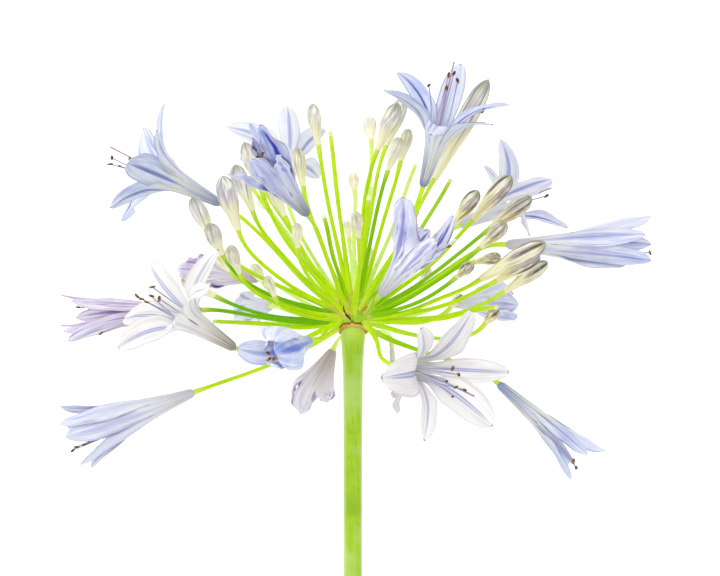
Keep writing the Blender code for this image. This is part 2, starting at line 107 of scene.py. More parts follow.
BLOOMS = [
    Bloom("upper_left", (-46, 43, -4), (-71, 56, 2), 6.0, "streaked",
          [(-66, 80, -11), (-75, 71, -18, 8.0), (-67, 68, 22), (-77, 56, 22, 8.5, 0, 1, 0, 1.0),
           (-84, 41, 15, 6.0, 40), (-83, 37, -19, 6.0, -35)],
          [(-84, 59, 4), (-85, 57, 0), (-81, 56, 8), (-77, 58, 12), (-78, 55, 6)], (-85, 63, 0)),
    Bloom("upper_front", (-15, 38, 36), (-29, 55, 62), 7.0, "blue",
          [(-30, 67.5, 62, 9.0, 35, 1, 0, 1.0), (-34, 68, 54, 4.0, 40, 1, 0, 0.0), (-33, 63, 60, 4.5, 0, 1, 0, 0.9),
           (-41, 51, 62, 4.5, 0, 1, 0, 0.0), (-32, 55, 76, 6.5, 0, 1, 0, 0.4), (-25, 56, 78, 4.5, 0, 1, 0, 0.3)],
          [(-31.5, 58.5, 72), (-29, 56.5, 74), (-30.5, 56, 70)], None),
    Bloom("upper_back", (-24, 48, -30), (-24, 62, -48), 6.5, "pale",
          [(-48, 74, -62), (-25, 82, -66), (-10, 73, -66), (-13, 55, -70), (-35, 48, -72), (-43, 62, -70)],
          [], None),
    Bloom("top_right", (24, 48, 10), (30, 69, 14), 5.5, "streaked",
          [(10, 81, 29, 5.5, 30), (15, 89, 0, 6.0, -30), (38, 93, -6, 6.5, 0, 1, 0, 0.0), (55, 77, 6), (48, 69, 30),
           (26, 65, 38, 6.0)],
          [(26, 83, 20), (33, 87, 14), (35, 88, 8), (36, 85, 16), (32, 82, 22), (45, 75, 10)], (35, 92, 10)),
    Bloom("right_back", (38, 36, -30), (58, 45, -36), 6.5, "pale",
          [(54, 69, -49, 6.0, 75), (48, 59, -52), (73, 53, -40, 7.0), (77, 35, -22, 7.0, 50), (63, 32, -14),
           (62, 41, -60)],
          [(70, 47, -32)], (72, 50, -34)),
    Bloom("right", (53, 29, -4), (90, 28, -2), 6.0, "lavender",
          [(105, 39, -2, 5.0, 55), (102, 32, 8), (104, 23, 8), (96, 22, 0, 5.0, 50), (103, 25, -11), (106, 29, -10)],
          [(104, 26, 0)], None),
    Bloom("centre_front", (9, 11, 44), (24, 30, 66), 8.0, "creased",
          [(16, 43, 76, 10.0, 30), (21, 36, 50, 6.0), (33, 38, 56, 4.5, 30, 1, 2.5, 0.3), (34, 30, 68, 4.0), (27, 29, 82, 5.0, -35),
           (26, 33, 46, 6.0)],
          [(31, 27, 74)], None),
    Bloom("left_front", (-39, -7, 34), (-56, 4, 40), 6.5, "ivory",
          [(-69, 22, 20, 9.0), (-44, 27, 46, 5.5, 60), (-46, 15, 62, 6.5), (-58, 1, 67, 6.0), (-79, -7, 36, 8.5, -45),
           (-79, 3, 20, 8.5)],
          [(-67, 14, 40), (-67, 11, 44), (-65, 10, 36), (-72, 11, 42), (-70, 10, 48), (-68, 9, 50)], None),
    Bloom("far_left", (-52, 6, 6), (-95, 4, 6), 4.5, "wilted",
          [(-104, 12, 0), (-98, 9, 10), (-103, 1, 6), (-99, -5, 12), (-98, 3, -6), (-102, -2, -4)],
          [(-95, 7, 10), (-87, -2, 12)], None),
    Bloom("lower_left", (-54, -22, 14), (-94, -37, 18), 6.5, "lavender",
          [(-102, -27, 10), (-100, -33, 24), (-98, -37, 26), (-94, -47, 20), (-91, -49, 6), (-100, -35, 2)],
          [(-91, -38, 18), (-92, -40, 20), (-95, -41, 16), (-96, -42, 18)], None),
    Bloom("front", (-14, -4, 38), (-26, -8, 66), 7.5, "clear",
          [(-38, -6, 60, 6.5, 0, 1, 0, 0.1), (-27.5, -3.5, 66, 7.0, 0, 1, 0, 0.9),
           (-25.5, -3.5, 80, 9.0, 0, 1, 2.0, 0.1), (-24.5, -7.6, 80, 10.5, 12, 1, 2.0, 1.0),
           (-19.5, -10.5, 71, 4.0, 0, 1, 0, 0.2), (-27, -10.5, 71, 4.0, 0, 1, 0, 0.2)],
          [(-27, -7.2, 76), (-24.8, -8.8, 81), (-26.8, -9.2, 76)], None),
    Bloom("hanging", (-7, -8, -34), (-15, -25, -44), 4.8, "wilted",
          [(-19.5, -33, -46, 6.5, -15, 1, 0, 0.1), (-21.5, -30, -46, 6.0, 0, 1, 0, 0.5),
           (-10, -28, -52, 7.0, 0, 1, 0, 0.1), (-9.5, -27.5, -39, 3.0, 30, 1, 0, 0.0),
           (-8.5, -27.5, -46, 5.5, 0, 1, 0, 0.0), (-15, -29, -54, 7.0, 0, 1, 0, 1.0)],
          [], None),
    Bloom("lower_front", (13, -12, 40), (31, -14, 66), 8.0, "ivory",
          [(8.5, -15, 78, 11.5), (22, 1, 74, 6.5), (39, 7, 62, 7.5), (52, -14, 56, 6.5), (46, -32, 60, 10.0),
           (23, -36, 74, 6.0)],
          [(32, -12, 80), (34, -14, 78), (30, -16, 82), (33, -18, 80), (36, -19, 76), (32, -21, 80)],
          (39, -21, 76)),
    Bloom("lower_right", (50, -19, 6), (82, -47, 6), 6.0, "streaked",
          [(88, -43, 6, 5.5, 30, 1, 0, 0.1), (81, -44, 14, 4.0, 0, 1, 0, 0.7), (84, -43.5, -2, 4.5, 0, 1, 0, 1.0),
           (76, -53, 8, 4.0, -30, 1, 0, 0.6), (75, -50, -4, 4.5, 0, 1, 0, 0.1), (76, -47.5, 10, 3.0, 0, 1, 0, 1.0)],
          [(76, -46, 14), (77, -48.3, 13)], None),
    Bloom("right_low_back", (36, 8, -34), (52, 9, -58), 6.5, "lavender",
          [(62, 7, -62), (61, 2, -66), (57, 15, -58), (54, 4, -78), (50, 13, -78), (60, 11, -74)],
          [], None),
    Bloom("left_low_back", (-34, 17, -34), (-57, 20, -58), 6.0, "wilted",
          [(-66, 21, -62), (-66, 18, -68), (-58, 26, -60), (-63, 23, -74), (-55, 15, -70), (-58, 18, -81.5)],
          [], None),
    Bloom("left_back", (-30, 7, -36), (-39, 6, -60), 6.0, "pale",
          [(-45, 5, -66), (-42, 11, -64), (-35, 1, -68), (-39, 9, -72), (-32, 10, -70), (-43, 2, -72)],
          [], None),
    Bloom("withered", (14, -7, -40), (15, -20, -50), 2.4, "papery",
          [(16, -33, -54), (14, -27, -50), (17, -27, -60)], [], None),
]

BUDS = [
    Bud((-12.0, 63.0, 6), (-14.0, 77.5, 10), 2.6),
    Bud((-17.5, 49.0, -4), (-20.0, 63.0, -2), 2.6),
    Bud((6.5, 66.5, -28), (6.0, 75.5, -38), 2.6),
    Bud((8.5, 61.5, 8), (15.5, 77.5, 14), 3.1),
    Bud((11.5, 63.5, -6), (18.0, 81.0, -8), 3.0),
    Bud((12.0, 54.0, 14), (16.0, 65.0, 22), 2.5),
    Bud((16.5, 57.5, 0), (19.5, 69.5, 0), 2.4),
    Bud((0.5, 48.5, -36), (0.0, 55.5, -48), 2.1),
    Bud((5.5, 43.5, -34), (7.5, 50.5, -44), 1.8),
    Bud((-39.0, 33.5, 24), (-44.0, 51.5, 32), 3.7),
    Bud((-34.5, 40.0, 14), (-40.5, 56.0, 18), 3.2),
    Bud((-32.5, 49.0, 2), (-38.0, 64.5, 4), 2.9),
    Bud((-23.5, 38.0, 2), (-28.5, 48.5, 2), 2.3),
    Bud((-18.5, 27.0, 36), (-18.5, 35.0, 46), 2.0),
    Bud((-48.0, 29.5, 8), (-56.0, 45.0, 8), 3.1),
    Bud((-44.5, 25.0, 22), (-49.0, 35.5, 28), 3.0),
    Bud((-38.0, 18.5, 34), (-41.0, 27.5, 44), 2.5),
    Bud((-42.0, 19.0, 8), (-48.0, 24.5, 6), 1.8),
    Bud((-48.0, 10.5, -4), (-60.5, 17.0, -6), 2.7),
    Bud((-31.5, 15.0, -14), (-36.0, 22.0, -20), 2.3),
    Bud((-26.5, 10.5, 26), (-29.0, 17.5, 36), 1.9),
    Bud((-30.0, 41.5, -32), (-34.5, 46.5, -42), 2.0),
    Bud((2.0, 30.5, 42), (1.0, 38.5, 54), 2.2),
    Bud((-1.5, 31.0, -34), (-2.5, 38.0, -44), 1.8),
    Bud((5.0, 21.5, -40), (6.0, 28.5, -50), 1.8),
    Bud((34.0, 35.0, 16), (43.0, 47.0, 20), 2.9),
    Bud((41.5, 37.0, 8), (55.0, 52.5, 10), 3.4),
    Bud((48.0, 34.5, -4), (63.0, 46.0, -8), 3.2),
    Bud((43.5, 27.5, 22), (52.0, 36.0, 28), 2.8),
    Bud((41.5, 22.5, 14), (51.0, 24.5, 16), 2.2),
    Bud((35.0, 17.0, 24), (40.5, 22.0, 30), 2.2),
    Bud((43.5, 16.5, 22), (65.5, 29.0, 28), 3.6),
    Bud((49.5, 16.0, 8), (65.0, 25.0, 8), 3.0),
    Bud((53.0, 12.0, -8), (69.0, 23.0, -12), 2.8),
    Bud((46.0, 0.5, -6), (51.0, 6.5, -8), 2.4),
    Bud((34.0, 6.0, -14), (39.0, 11.0, -20), 1.8),
    Bud((21.0, 37.0, -30), (23.0, 42.5, -38), 1.7),
    Bud((24.5, 15.5, -38), (28.0, 21.0, -48), 1.7),
    Bud((28.5, 52.0, -8), (48.0, 87.5, -10), 3.9),
]

# Where the stalks end whose flower has dropped or was cut off
BARE_STALKS = [
    (-8.0, 68.0, 8), (34.5, 52.0, -8), (-10.0, 38.5, 30), (-36.5, 50.0, -14), (-32.0, 49.0, -10),
    (-49.0, 2.0, 2), (-32.0, 1.0, -12), (5.5, 45.0, 18), (50.0, 7.0, 12), (22.5, 58.0, -30),
]
WHITE_CUTS = [BARE_STALKS[2], BARE_STALKS[7]]

# Where a stalk springs from that isn't straight under its flower
ROOTS = {"front": (-4.4, 2.2, 2.6), "lower_front": (3.7, 1.7, 3.2), "left_front": (-3.6, 2.4, 1.2)}

# How much wider than usual a bloom's throat is
SWELLS = {"front": 1.25, "hanging": 1.9, "lower_right": 0.75, "withered": 0.5}

# Blooms whose petals overlap almost up to their tips
FUNNELS = {
    "upper_left", "upper_front", "right", "centre_front", "far_left", "lower_left", "lower_right",
    "right_low_back", "left_low_back", "left_back", "withered", "top_right", "front",
}
RUFFLED = {"upper_front", "centre_front", "left_low_back", "left_back", "withered"}


# The tools that all pieces share


class Link:
    """An output of a node in a tree. Sums on it add Math nodes, and node() adds any other kind of node."""

    def __init__(self, tree, output=None):
        self.tree = tree
        self.output = output

    def node(self, kind, settings=None, sockets=None, out=0):
        """A new node: its settings come first, then what its sockets hold or are linked to."""
        new = self.tree.nodes.new(kind)
        for name, value in (settings or {}).items():
            if name == "outline":
                self.set_outline(new.mapping, value)
            else:
                setattr(new, name, value)
        for name, value in (sockets or {}).items():
            if isinstance(value, Link):
                self.tree.links.new(value.output, new.inputs[name])
            else:
                new.inputs[name].default_value = value
        return Link(self.tree, new.outputs[out])

    @staticmethod
    def set_outline(mapping, points):
        curve = mapping.curves[0]
        while len(curve.points) < len(points):
            curve.points.new(0.5, 0.5)
        for point, place in zip(curve.points, points):
            point.location = place
        mapping.update()

    def other(self, index):
        """Another output of the same node."""
        return Link(self.tree, self.output.node.outputs[index])

    def maths(self, operation, *values):
        return self.node("ShaderNodeMath", {"operation": operation}, dict(enumerate(values)))

    def __add__(self, value):
        return self.maths("ADD", self, value)

    def __radd__(self, value):
        return self.maths("ADD", value, self)

    def __sub__(self, value):
        return self.maths("SUBTRACT", self, value)

    def __rsub__(self, value):
        return self.maths("SUBTRACT", value, self)

    def __mul__(self, value):
        return self.maths("MULTIPLY", self, value)

    def __rmul__(self, value):
        return self.maths("MULTIPLY", value, self)

    def __abs__(self):
        return self.maths("ABSOLUTE", self)

    def __truediv__(self, value):
        return self.maths("DIVIDE", self, value)

    def cosine(self):
        return self.maths("COSINE", self)

    def rise(self, low, high):
        """0 up to low, 1 from high on, smooth between them. It falls instead where low is above high."""
        return self.node(
            "ShaderNodeMapRange",
            {"interpolation_type": "SMOOTHSTEP"},
            {"Value": self, "From Min": low, "From Max": high},
        )

    def blend(self, code, mask):
        """This colour, turning into the one of a web code where the mask is 1."""
        mix = {"data_type": "RGBA", "clamp_factor": True}
        return self.node("ShaderNodeMix", mix, {0: mask, 6: self, 7: srgb(code)}, out=2)


def srgb(code, shade=SHADE):
    """The colour that a web code such as #A8CC34 names in the picture, as Blender's linear values."""
    shares = [int(code[i : i + 2], 16) / 255 for i in (1, 3, 5)]
    linear = [share / 12.92 if share < 0.04045 else ((share + 0.055) / 1.055) ** 2.4 for share in shares]
    return (*(share * shade for share in linear), 1.0)


def laid(place):
    """A place in the plant's own frame, carried into the part's frame in metres."""
    return LAID @ (Vector(place) * MM)


def add_object(name, data):
    obj = bpy.data.objects.new(name, data)
    bpy.context.scene.collection.objects.link(obj)
    return obj


def path_object(name, paths, **values):
    """A mesh of bare chains of edges, one for each path, with named values at its points for a tree to read."""
    points = [point for path in paths for point in path]
    edges = []
    start = 0
    for path in paths:
        edges += [(start + i, start + i + 1) for i in range(len(path) - 1)]
        start += len(path)
    mesh = bpy.data.meshes.new(name)
    mesh.from_pydata(points, edges, [])
    for label, numbers in values.items():
        mesh.attributes.new(label, "FLOAT", "POINT").data.foreach_set("value", numbers)
    return add_object(name, mesh)


def grow(obj, tree, **inputs):
    """Runs a Geometry Nodes tree on the object and leaves its result there as a plain mesh."""
    modifier = obj.modifiers.new(tree.name, "NODES")
    modifier.node_group = tree
    keys = {item.name: item.identifier for item in tree.interface.items_tree if item.in_out == "INPUT"}
    for label, value in inputs.items():
        modifier[keys[label.replace("_", " ")]] = value
    bake(obj)


def bake(obj):
    graph = bpy.context.evaluated_depsgraph_get()
    mesh = bpy.data.meshes.new_from_object(obj.evaluated_get(graph))
    obj.modifiers.clear()
    obj.data = mesh


def rest_on_surface(obj):
    """What would dip below the surface lies flat on it."""
    for vertex in obj.data.vertices:
        vertex.co.z = max(vertex.co.z, 0.0)


def dress(obj, slot, *nodes):
    """Makes the object a piece of the part that stands for these CAD nodes."""
    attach(obj, "root")
    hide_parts(*nodes)


def quadratic(start, middle, end, t):
    return start * (1 - t) ** 2 + middle * (2 * t * (1 - t)) + end * t**2


def cubic(places, t):
    a, b, c, d = places
    return a * (1 - t) ** 3 + b * (3 * t * (1 - t) ** 2) + c * (3 * t**2 * (1 - t)) + d * t**3


def ease(low, high, value):
    """0 up to low, 1 from high on, smooth between them."""
    share = max(0.0, min(1.0, (value - low) / (high - low)))
    return share * share * (3 - 2 * share)


def read_outline(points, share):
    """The height of an outline of (share, height) points there, eased from point to point."""
    for (low, start), (high, end) in zip(points, points[1:]):
        if share <= high:
            return start + (end - start) * ease(low, high, share)
    return points[-1][1]


# Geometry Nodes trees


def new_tree(name, **inputs):
    """An empty tree with named inputs. Returns it with the links of its geometry and of each input."""
    tree = bpy.data.node_groups.new(name, "GeometryNodeTree")
    tree.interface.new_socket("Geometry", in_out="INPUT", socket_type="NodeSocketGeometry")
    tree.interface.new_socket("Geometry", in_out="OUTPUT", socket_type="NodeSocketGeometry")
    for label, start in inputs.items():
        kind = {float: "NodeSocketFloat", int: "NodeSocketInt", type(None): "NodeSocketMaterial"}[type(start)]
        socket = tree.interface.new_socket(label.replace("_", " "), in_out="INPUT", socket_type=kind)
        if start is not None:
            socket.default_value = start
    source = tree.nodes.new("NodeGroupInput")
    return tree, [Link(tree, source.outputs[i]) for i in range(len(inputs) + 1)]


def end_tree(shape, material):
    """Ends a tree in Realize Instances and Set Material."""
    real = shape.node("GeometryNodeRealizeInstances", sockets={0: shape})
    smooth = real.node("GeometryNodeSetShadeSmooth", sockets={"Geometry": real})
    done = smooth.node("GeometryNodeSetMaterial", sockets={"Geometry": smooth, "Material": material})
    last = shape.tree.nodes.new("NodeGroupOutput")
    shape.tree.links.new(done.output, last.inputs[0])


def store(shape, label, value, kind="FLOAT"):
    """Keeps a value at the shape's points under a name, for its material."""
    return shape.node(
        "GeometryNodeStoreNamedAttribute",
        {"data_type": kind, "domain": "POINT"},
        {"Geometry": shape, "Name": label, "Value": value},
    )


def named(link, label):
    return link.node("GeometryNodeInputNamedAttribute", {"data_type": "FLOAT"}, {"Name": label})


def sweep(rail, girth, profile):
    """A tube along the rail, whose profile of radius 1 is drawn out to the girth."""
    return rail.node(
        "GeometryNodeCurveToMesh",
        sockets={"Curve": rail, "Profile Curve": profile, "Scale": girth, "Fill Caps": True},
    )


def ribbed_circle(link, sides, ribs, depth):
    """A circle of radius 1 with shallow ribs, which remembers how far round it each point is."""
    circle = link.node("GeometryNodeCurvePrimitiveCircle", {"mode": "RADIUS"}, {"Resolution": sides, "Radius": 1.0})
    angle = link.node("GeometryNodeSplineParameter") * math.tau
    out = 1.0 + (angle * ribs).cosine() * depth
    place = link.node("GeometryNodeInputPosition")
    grown = place.node("ShaderNodeVectorMath", {"operation": "SCALE"}, {"Vector": place, "Scale": out})
    moved = circle.node("GeometryNodeSetPosition", sockets={"Geometry": circle, "Position": grown})
    return store(moved, "round", place, "FLOAT_VECTOR")


def stem_tree():
    """Sweeps every chain of edges into a stem as thick as its points' girth says."""
    tree, (paths, sides, ribs, depth, material) = new_tree("stem", Sides=12, Ribs=5, Rib_Depth=0.05, Material=None)
    rail = paths.node("GeometryNodeMeshToCurve", sockets={"Mesh": paths})
    rail = store(rail, "along", rail.node("GeometryNodeSplineParameter"))
    profile = ribbed_circle(paths, sides, ribs, depth)
    end_tree(sweep(rail, named(rail, "girth"), profile), material)
    return tree


BUD_OUTLINE = [
    (0.0, 0.36), (0.05, 0.42), (0.18, 0.52), (0.34, 0.7), (0.52, 0.93), (0.66, 1.0), (0.8, 0.94), (0.91, 0.68),
    (0.97, 0.38), (1.0, 0.05),
]


def bud_tree():
    """A closed bud that stands on the origin: three petals wrapped round each other, with a furrow at each seam."""
    tree, (_, length, radius, furrow, twist, ripe, tan, material) = new_tree(
        "bud", Length=0.01, Radius=0.003, Furrow=0.06, Twist=0.3, Ripeness=0.5, Tan=0.5, Material=None
    )
    seat = Link(tree).node("ShaderNodeCombineXYZ", sockets={"Z": SEAT_GAP * MM})
    tip = Link(tree).node("ShaderNodeCombineXYZ", sockets={"Z": length})
    line = tip.node("GeometryNodeCurvePrimitiveLine", sockets={"Start": seat, "End": tip})
    rail = line.node("GeometryNodeResampleCurve", sockets={"Curve": line, "Count": 30})
    along = rail.node("GeometryNodeSplineParameter")
    rail = store(store(store(rail, "along", along), "ripe", ripe), "tan", tan)
    rail = rail.node("GeometryNodeSetCurveTilt", sockets={"Curve": rail, "Tilt": along * twist})
    outline = along.node("ShaderNodeFloatCurve", {"outline": BUD_OUTLINE}, {"Value": along})
    profile = ribbed_circle(along, 36, 3, furrow)
    end_tree(sweep(rail, outline * radius, profile), material)
    return tree


def stamen_tree():
    """Filaments along the chains of edges, each with an anther across its end."""
    tree, (paths, radius, length, width, seed, thread, material) = new_tree(
        "stamens", Radius=0.0003, Anther_Length=0.0024, Anther_Width=0.0011, Seed=1, Filament=None, Anther=None
    )
    rail = paths.node("GeometryNodeMeshToCurve", sockets={"Mesh": paths})
    along = rail.node("GeometryNodeSplineParameter")
    rail = store(rail, "along", along)
    circle = rail.node("GeometryNodeCurvePrimitiveCircle", {"mode": "RADIUS"}, {"Resolution": 7, "Radius": 1.0})
    threads = sweep(rail, radius * (1.0 - along * 0.35), circle)
    threads = threads.node("GeometryNodeSetMaterial", sockets={"Geometry": threads, "Material": thread})

    grain = rail.node("GeometryNodeMeshUVSphere", sockets={"Segments": 10, "Rings": 8, "Radius": 0.5})
    place = grain.node("GeometryNodeInputPosition")
    parts = place.node("ShaderNodeSeparateXYZ", sockets={0: place})
    pinch = 1.0 - (abs(parts.other(0))).rise(0.18, 0.0) * 0.3
    pinched = place.node("ShaderNodeVectorMath", {"operation": "SCALE"}, {"Vector": place, "Scale": pinch})
    grain = grain.node("GeometryNodeSetPosition", sockets={"Geometry": grain, "Position": pinched})
    size = place.node("ShaderNodeCombineXYZ", sockets={"X": width, "Y": width * 0.7, "Z": length})
    grain = grain.node("GeometryNodeTransform", sockets={"Geometry": grain, "Scale": size})
    grain = grain.node("GeometryNodeSetMaterial", sockets={"Geometry": grain, "Material": material})
    tangent = rail.node("GeometryNodeInputTangent")
    lean = rail.node(
        "FunctionNodeRandomValue", {"data_type": "FLOAT_VECTOR"},
        {0: (-0.9, -0.9, -0.9), 1: (0.9, 0.9, 0.9), "Seed": seed},
    )
    way = tangent.node("ShaderNodeVectorMath", {"operation": "ADD"}, {0: tangent, 1: lean})
    turn = way.node("FunctionNodeAlignRotationToVector", {"axis": "Z"}, {"Vector": way})
    ends = rail.node("GeometryNodeCurveEndpointSelection", sockets={"Start Size": 0, "End Size": 1})
    dots = rail.node(
        "GeometryNodeInstanceOnPoints",
        sockets={"Points": rail, "Selection": ends, "Instance": grain, "Rotation": turn},
    )
    both = threads.node("GeometryNodeJoinGeometry")
    tree.links.new(threads.output, both.output.node.inputs[0])
    tree.links.new(dots.output, both.output.node.inputs[0])
    real = both.node("GeometryNodeRealizeInstances", sockets={0: both})
    smooth = real.node("GeometryNodeSetShadeSmooth", sockets={"Geometry": real})
    last = tree.nodes.new("NodeGroupOutput")
    tree.links.new(smooth.output, last.inputs[0])
    return tree


def thread_tree():
    """Dry threads that stand here and there on the dome between the roots of the stalks."""
    tree, (dome, density, length, seed, material) = new_tree(
        "threads", Density=400000.0, Length=0.006, Seed=1, Material=None
    )
    spots = dome.node(
        "GeometryNodeDistributePointsOnFaces", sockets={"Mesh": dome, "Density": density, "Seed": seed}
    )
    start = dome.node("ShaderNodeCombineXYZ")
    middle = dome.node("ShaderNodeCombineXYZ", sockets={"X": length * 0.12, "Z": length * 0.55})
    end = dome.node("ShaderNodeCombineXYZ", sockets={"X": length * 0.5, "Z": length * 0.85})
    hook = dome.node(
        "GeometryNodeCurveQuadraticBezier", sockets={"Resolution": 7, "Start": start, "Middle": middle, "End": end}
    )
    along = hook.node("GeometryNodeSplineParameter")
    hook = store(hook, "along", along)
    blade = hook.node("GeometryNodeCurvePrimitiveCircle", {"mode": "RADIUS"}, {"Resolution": 4, "Radius": 1.0})
    thin = sweep(hook, (1.15 - along) * 0.00042, blade)
    spin = dome.node(
        "FunctionNodeRandomValue", {"data_type": "FLOAT_VECTOR"},
        {0: (-0.5, -0.5, 0.0), 1: (0.5, 0.5, math.tau), "Seed": seed},
    )
    size = dome.node("FunctionNodeRandomValue", {"data_type": "FLOAT"}, {2: 0.35, 3: 1.25, "Seed": seed + 1}, out=1)
    turn = spots.other(2).node("FunctionNodeRotateRotation", {"rotation_space": "LOCAL"},
                               {0: spots.other(2), 1: spin.node("FunctionNodeEulerToRotation", sockets={0: spin})})
    blades = spots.node(
        "GeometryNodeInstanceOnPoints", sockets={"Points": spots, "Instance": thin, "Rotation": turn, "Scale": size}
    )
    end_tree(blades, material)
    return tree


# Materials


class Finish:
    """A material whose Principled shader is fed step by step."""

    def __init__(self, name, **steady):
        self.material = bpy.data.materials.new(name)
        self.material.use_nodes = True
        self.tree = self.material.node_tree
        self.shader = self.tree.nodes["Principled BSDF"]
        self.base = Link(self.tree)
        for label, value in steady.items():
            self.shader.inputs[label.replace("_", " ")].default_value = value

    def feed(self, label, link):
        self.tree.links.new(link.output, self.shader.inputs[label])

    def attribute(self, label, out=2):
        return self.base.node("ShaderNodeAttribute", {"attribute_name": label}, out=out)

    def noise(self, vector, scale, detail=3.0, rough=0.55):
        return self.base.node(
            "ShaderNodeTexNoise", sockets={"Vector": vector, "Scale": scale, "Detail": detail, "Roughness": rough}
        )

    def vector(self, x, y, z=0.0):
        return self.base.node("ShaderNodeCombineXYZ", sockets={"X": x, "Y": y, "Z": z})

    def place(self):
        return self.base.node("ShaderNodeTexCoord", out=3)

    def bump(self, height, strength, distance):
        return self.base.node(
            "ShaderNodeBump", sockets={"Height": height, "Strength": strength, "Distance": distance * MM}
        )

    def mixed(self, first, second, mask):
        """A colour between two by a mask, each given as a web code or as linear values."""
        first = srgb(first) if isinstance(first, str) else first
        second = srgb(second) if isinstance(second, str) else second
        mix = {"data_type": "RGBA", "clamp_factor": True}
        return self.base.node("ShaderNodeMix", mix, {0: mask, 6: first, 7: second}, out=2)


def scape_finish():
    """Mottled green with faint fibres. Painted highlights make it paler along both edges, most along one, and painted
    light makes it paler just under the head. It glows faintly by its own colour as painted light.
    """
    finish = Finish(
        "scape_green", Subsurface_Weight=0.25, Subsurface_Scale=0.003, Subsurface_Radius=(0.8, 1.0, 0.2),
        Emission_Strength=0.06, Specular_IOR_Level=0.2,
    )
    along, place = finish.attribute("along"), finish.place()
    parts = finish.base.node("ShaderNodeSeparateXYZ", sockets={0: finish.attribute("round", 1)})
    fibres = finish.noise(finish.vector(parts * 7.0, parts.other(1) * 7.0, along * 30.0), 1.0, 4.0)
    flecks = finish.noise(finish.vector(parts * 9.0, parts.other(1) * 9.0, along * 90.0), 1.0, 2.0)
    mottle = finish.noise(place, 240.0, 3.0)
    cloud = finish.noise(place, 60.0, 2.0)
    colour = finish.mixed("#9CC81C", "#B4D838", fibres.rise(0.3, 0.7))
    colour = colour.blend("#84B820", mottle.rise(0.5, 0.68) * 0.45)
    colour = colour.blend("#C4E080", cloud.rise(0.48, 0.66) * 0.6)
    colour = colour.blend("#84B414", cloud.rise(0.44, 0.3) * 0.6)
    colour = colour.blend("#6CA010", flecks.rise(0.66, 0.74) * 0.4)
    # Painted highlights: paler colour along both edges of the stem, strongest along one.
    colour = colour.blend("#D8EAA0", parts.rise(-0.7, -1.0) * 0.7)
    colour = colour.blend("#CCE688", parts.rise(0.55, 1.0) * 0.6)
    # Painted light: paler just under the head, where the stalks above shade the flare.
    colour = colour.blend("#CEE660", along.rise(0.045, 0.02) * 0.8)
    finish.feed("Base Color", colour)
    # The stem glows faintly by its own colour: painted light.
    finish.feed("Emission Color", colour)
    finish.feed("Roughness", 0.4 + mottle * 0.2)
    finish.feed("Normal", finish.bump(fibres + mottle * 0.5, 0.3, 0.2))
    return finish.material


def stalk_finish():
    """Bright and lime in most stalks, deep green in some, yellow where a flower sits. Painted light washes out the
    stalks at the back, and the stalks glow by their own colour as painted light, most near their roots.
    """
    finish = Finish(
        "stalk_green", Subsurface_Weight=0.3, Subsurface_Scale=0.002, Subsurface_Radius=(0.8, 1.0, 0.2),
        Emission_Strength=0.36, Specular_IOR_Level=0.08,
    )
    along, deep, pale = finish.attribute("along"), finish.attribute("deep"), finish.attribute("pale")
    cut = finish.attribute("cut")
    place = finish.place()
    parts = finish.base.node("ShaderNodeSeparateXYZ", sockets={0: finish.attribute("round", 1)})
    fibres = finish.noise(finish.vector(parts * 5.0, parts.other(1) * 5.0, along * 9.0 + deep * 40.0), 1.0, 3.0)
    mottle = finish.noise(place, 600.0, 2.0)
    colour = finish.mixed("#ACD800", "#D0EE14", fibres.rise(0.35, 0.65))
    colour = colour.blend("#58AC00", deep.rise(0.6, 1.0) * 0.85)
    # Painted light: a pale wash over the stalks at the back of the head.
    colour = colour.blend("#E0F690", pale * 0.85)
    colour = colour.blend("#DCE668", along.rise(0.88, 1.0) * 0.6)
    colour = colour.blend("#DCE070", along.rise(0.2, 0.0) * mottle.rise(0.35, 0.6) * 0.8)
    colour = colour.blend("#86BE20", mottle.rise(0.55, 0.75) * 0.35)
    colour = colour.blend("#FAF8E6", along.rise(0.972, 0.978) * cut)
    finish.feed("Base Color", colour)
    # The stalks glow by their own colour, fully at their roots and less higher up: painted light that brightens the
    # crowded, shaded hub.
    finish.feed("Emission Color", colour.blend("#000000", along.rise(0.04, 0.4) * 0.6))
    finish.feed("Roughness", 0.34 + mottle * 0.2)
    finish.feed("Normal", finish.bump(fibres + mottle * 0.3, 0.3, 0.12))
    return finish.material


def papery_finish(name, dark, light):
    """Dry and flaky, and darkest where its points say so. It glows faintly by its own colour as painted light."""
    finish = Finish(name, Specular_IOR_Level=0.1, Emission_Strength=0.15)
    place = finish.place()
    flakes = finish.noise(place, 900.0, 4.0, 0.65)
    cloud = finish.noise(place, 260.0, 2.0)
    colour = finish.mixed(dark, light, cloud.rise(0.35, 0.62))
    colour = colour.blend("#3A2010", flakes.rise(0.6, 0.72) * 0.7)
    colour = colour.blend("#7A3C0C", finish.attribute("scorch") * (0.5 + flakes))
    finish.feed("Base Color", colour)
    # Painted light: the papery parts glow faintly by their own colour.
    finish.feed("Emission Color", colour)
    finish.feed("Roughness", 0.7 + flakes * 0.25)
    finish.feed("Normal", finish.bump(flakes, 0.6, 0.2))
    return finish.material


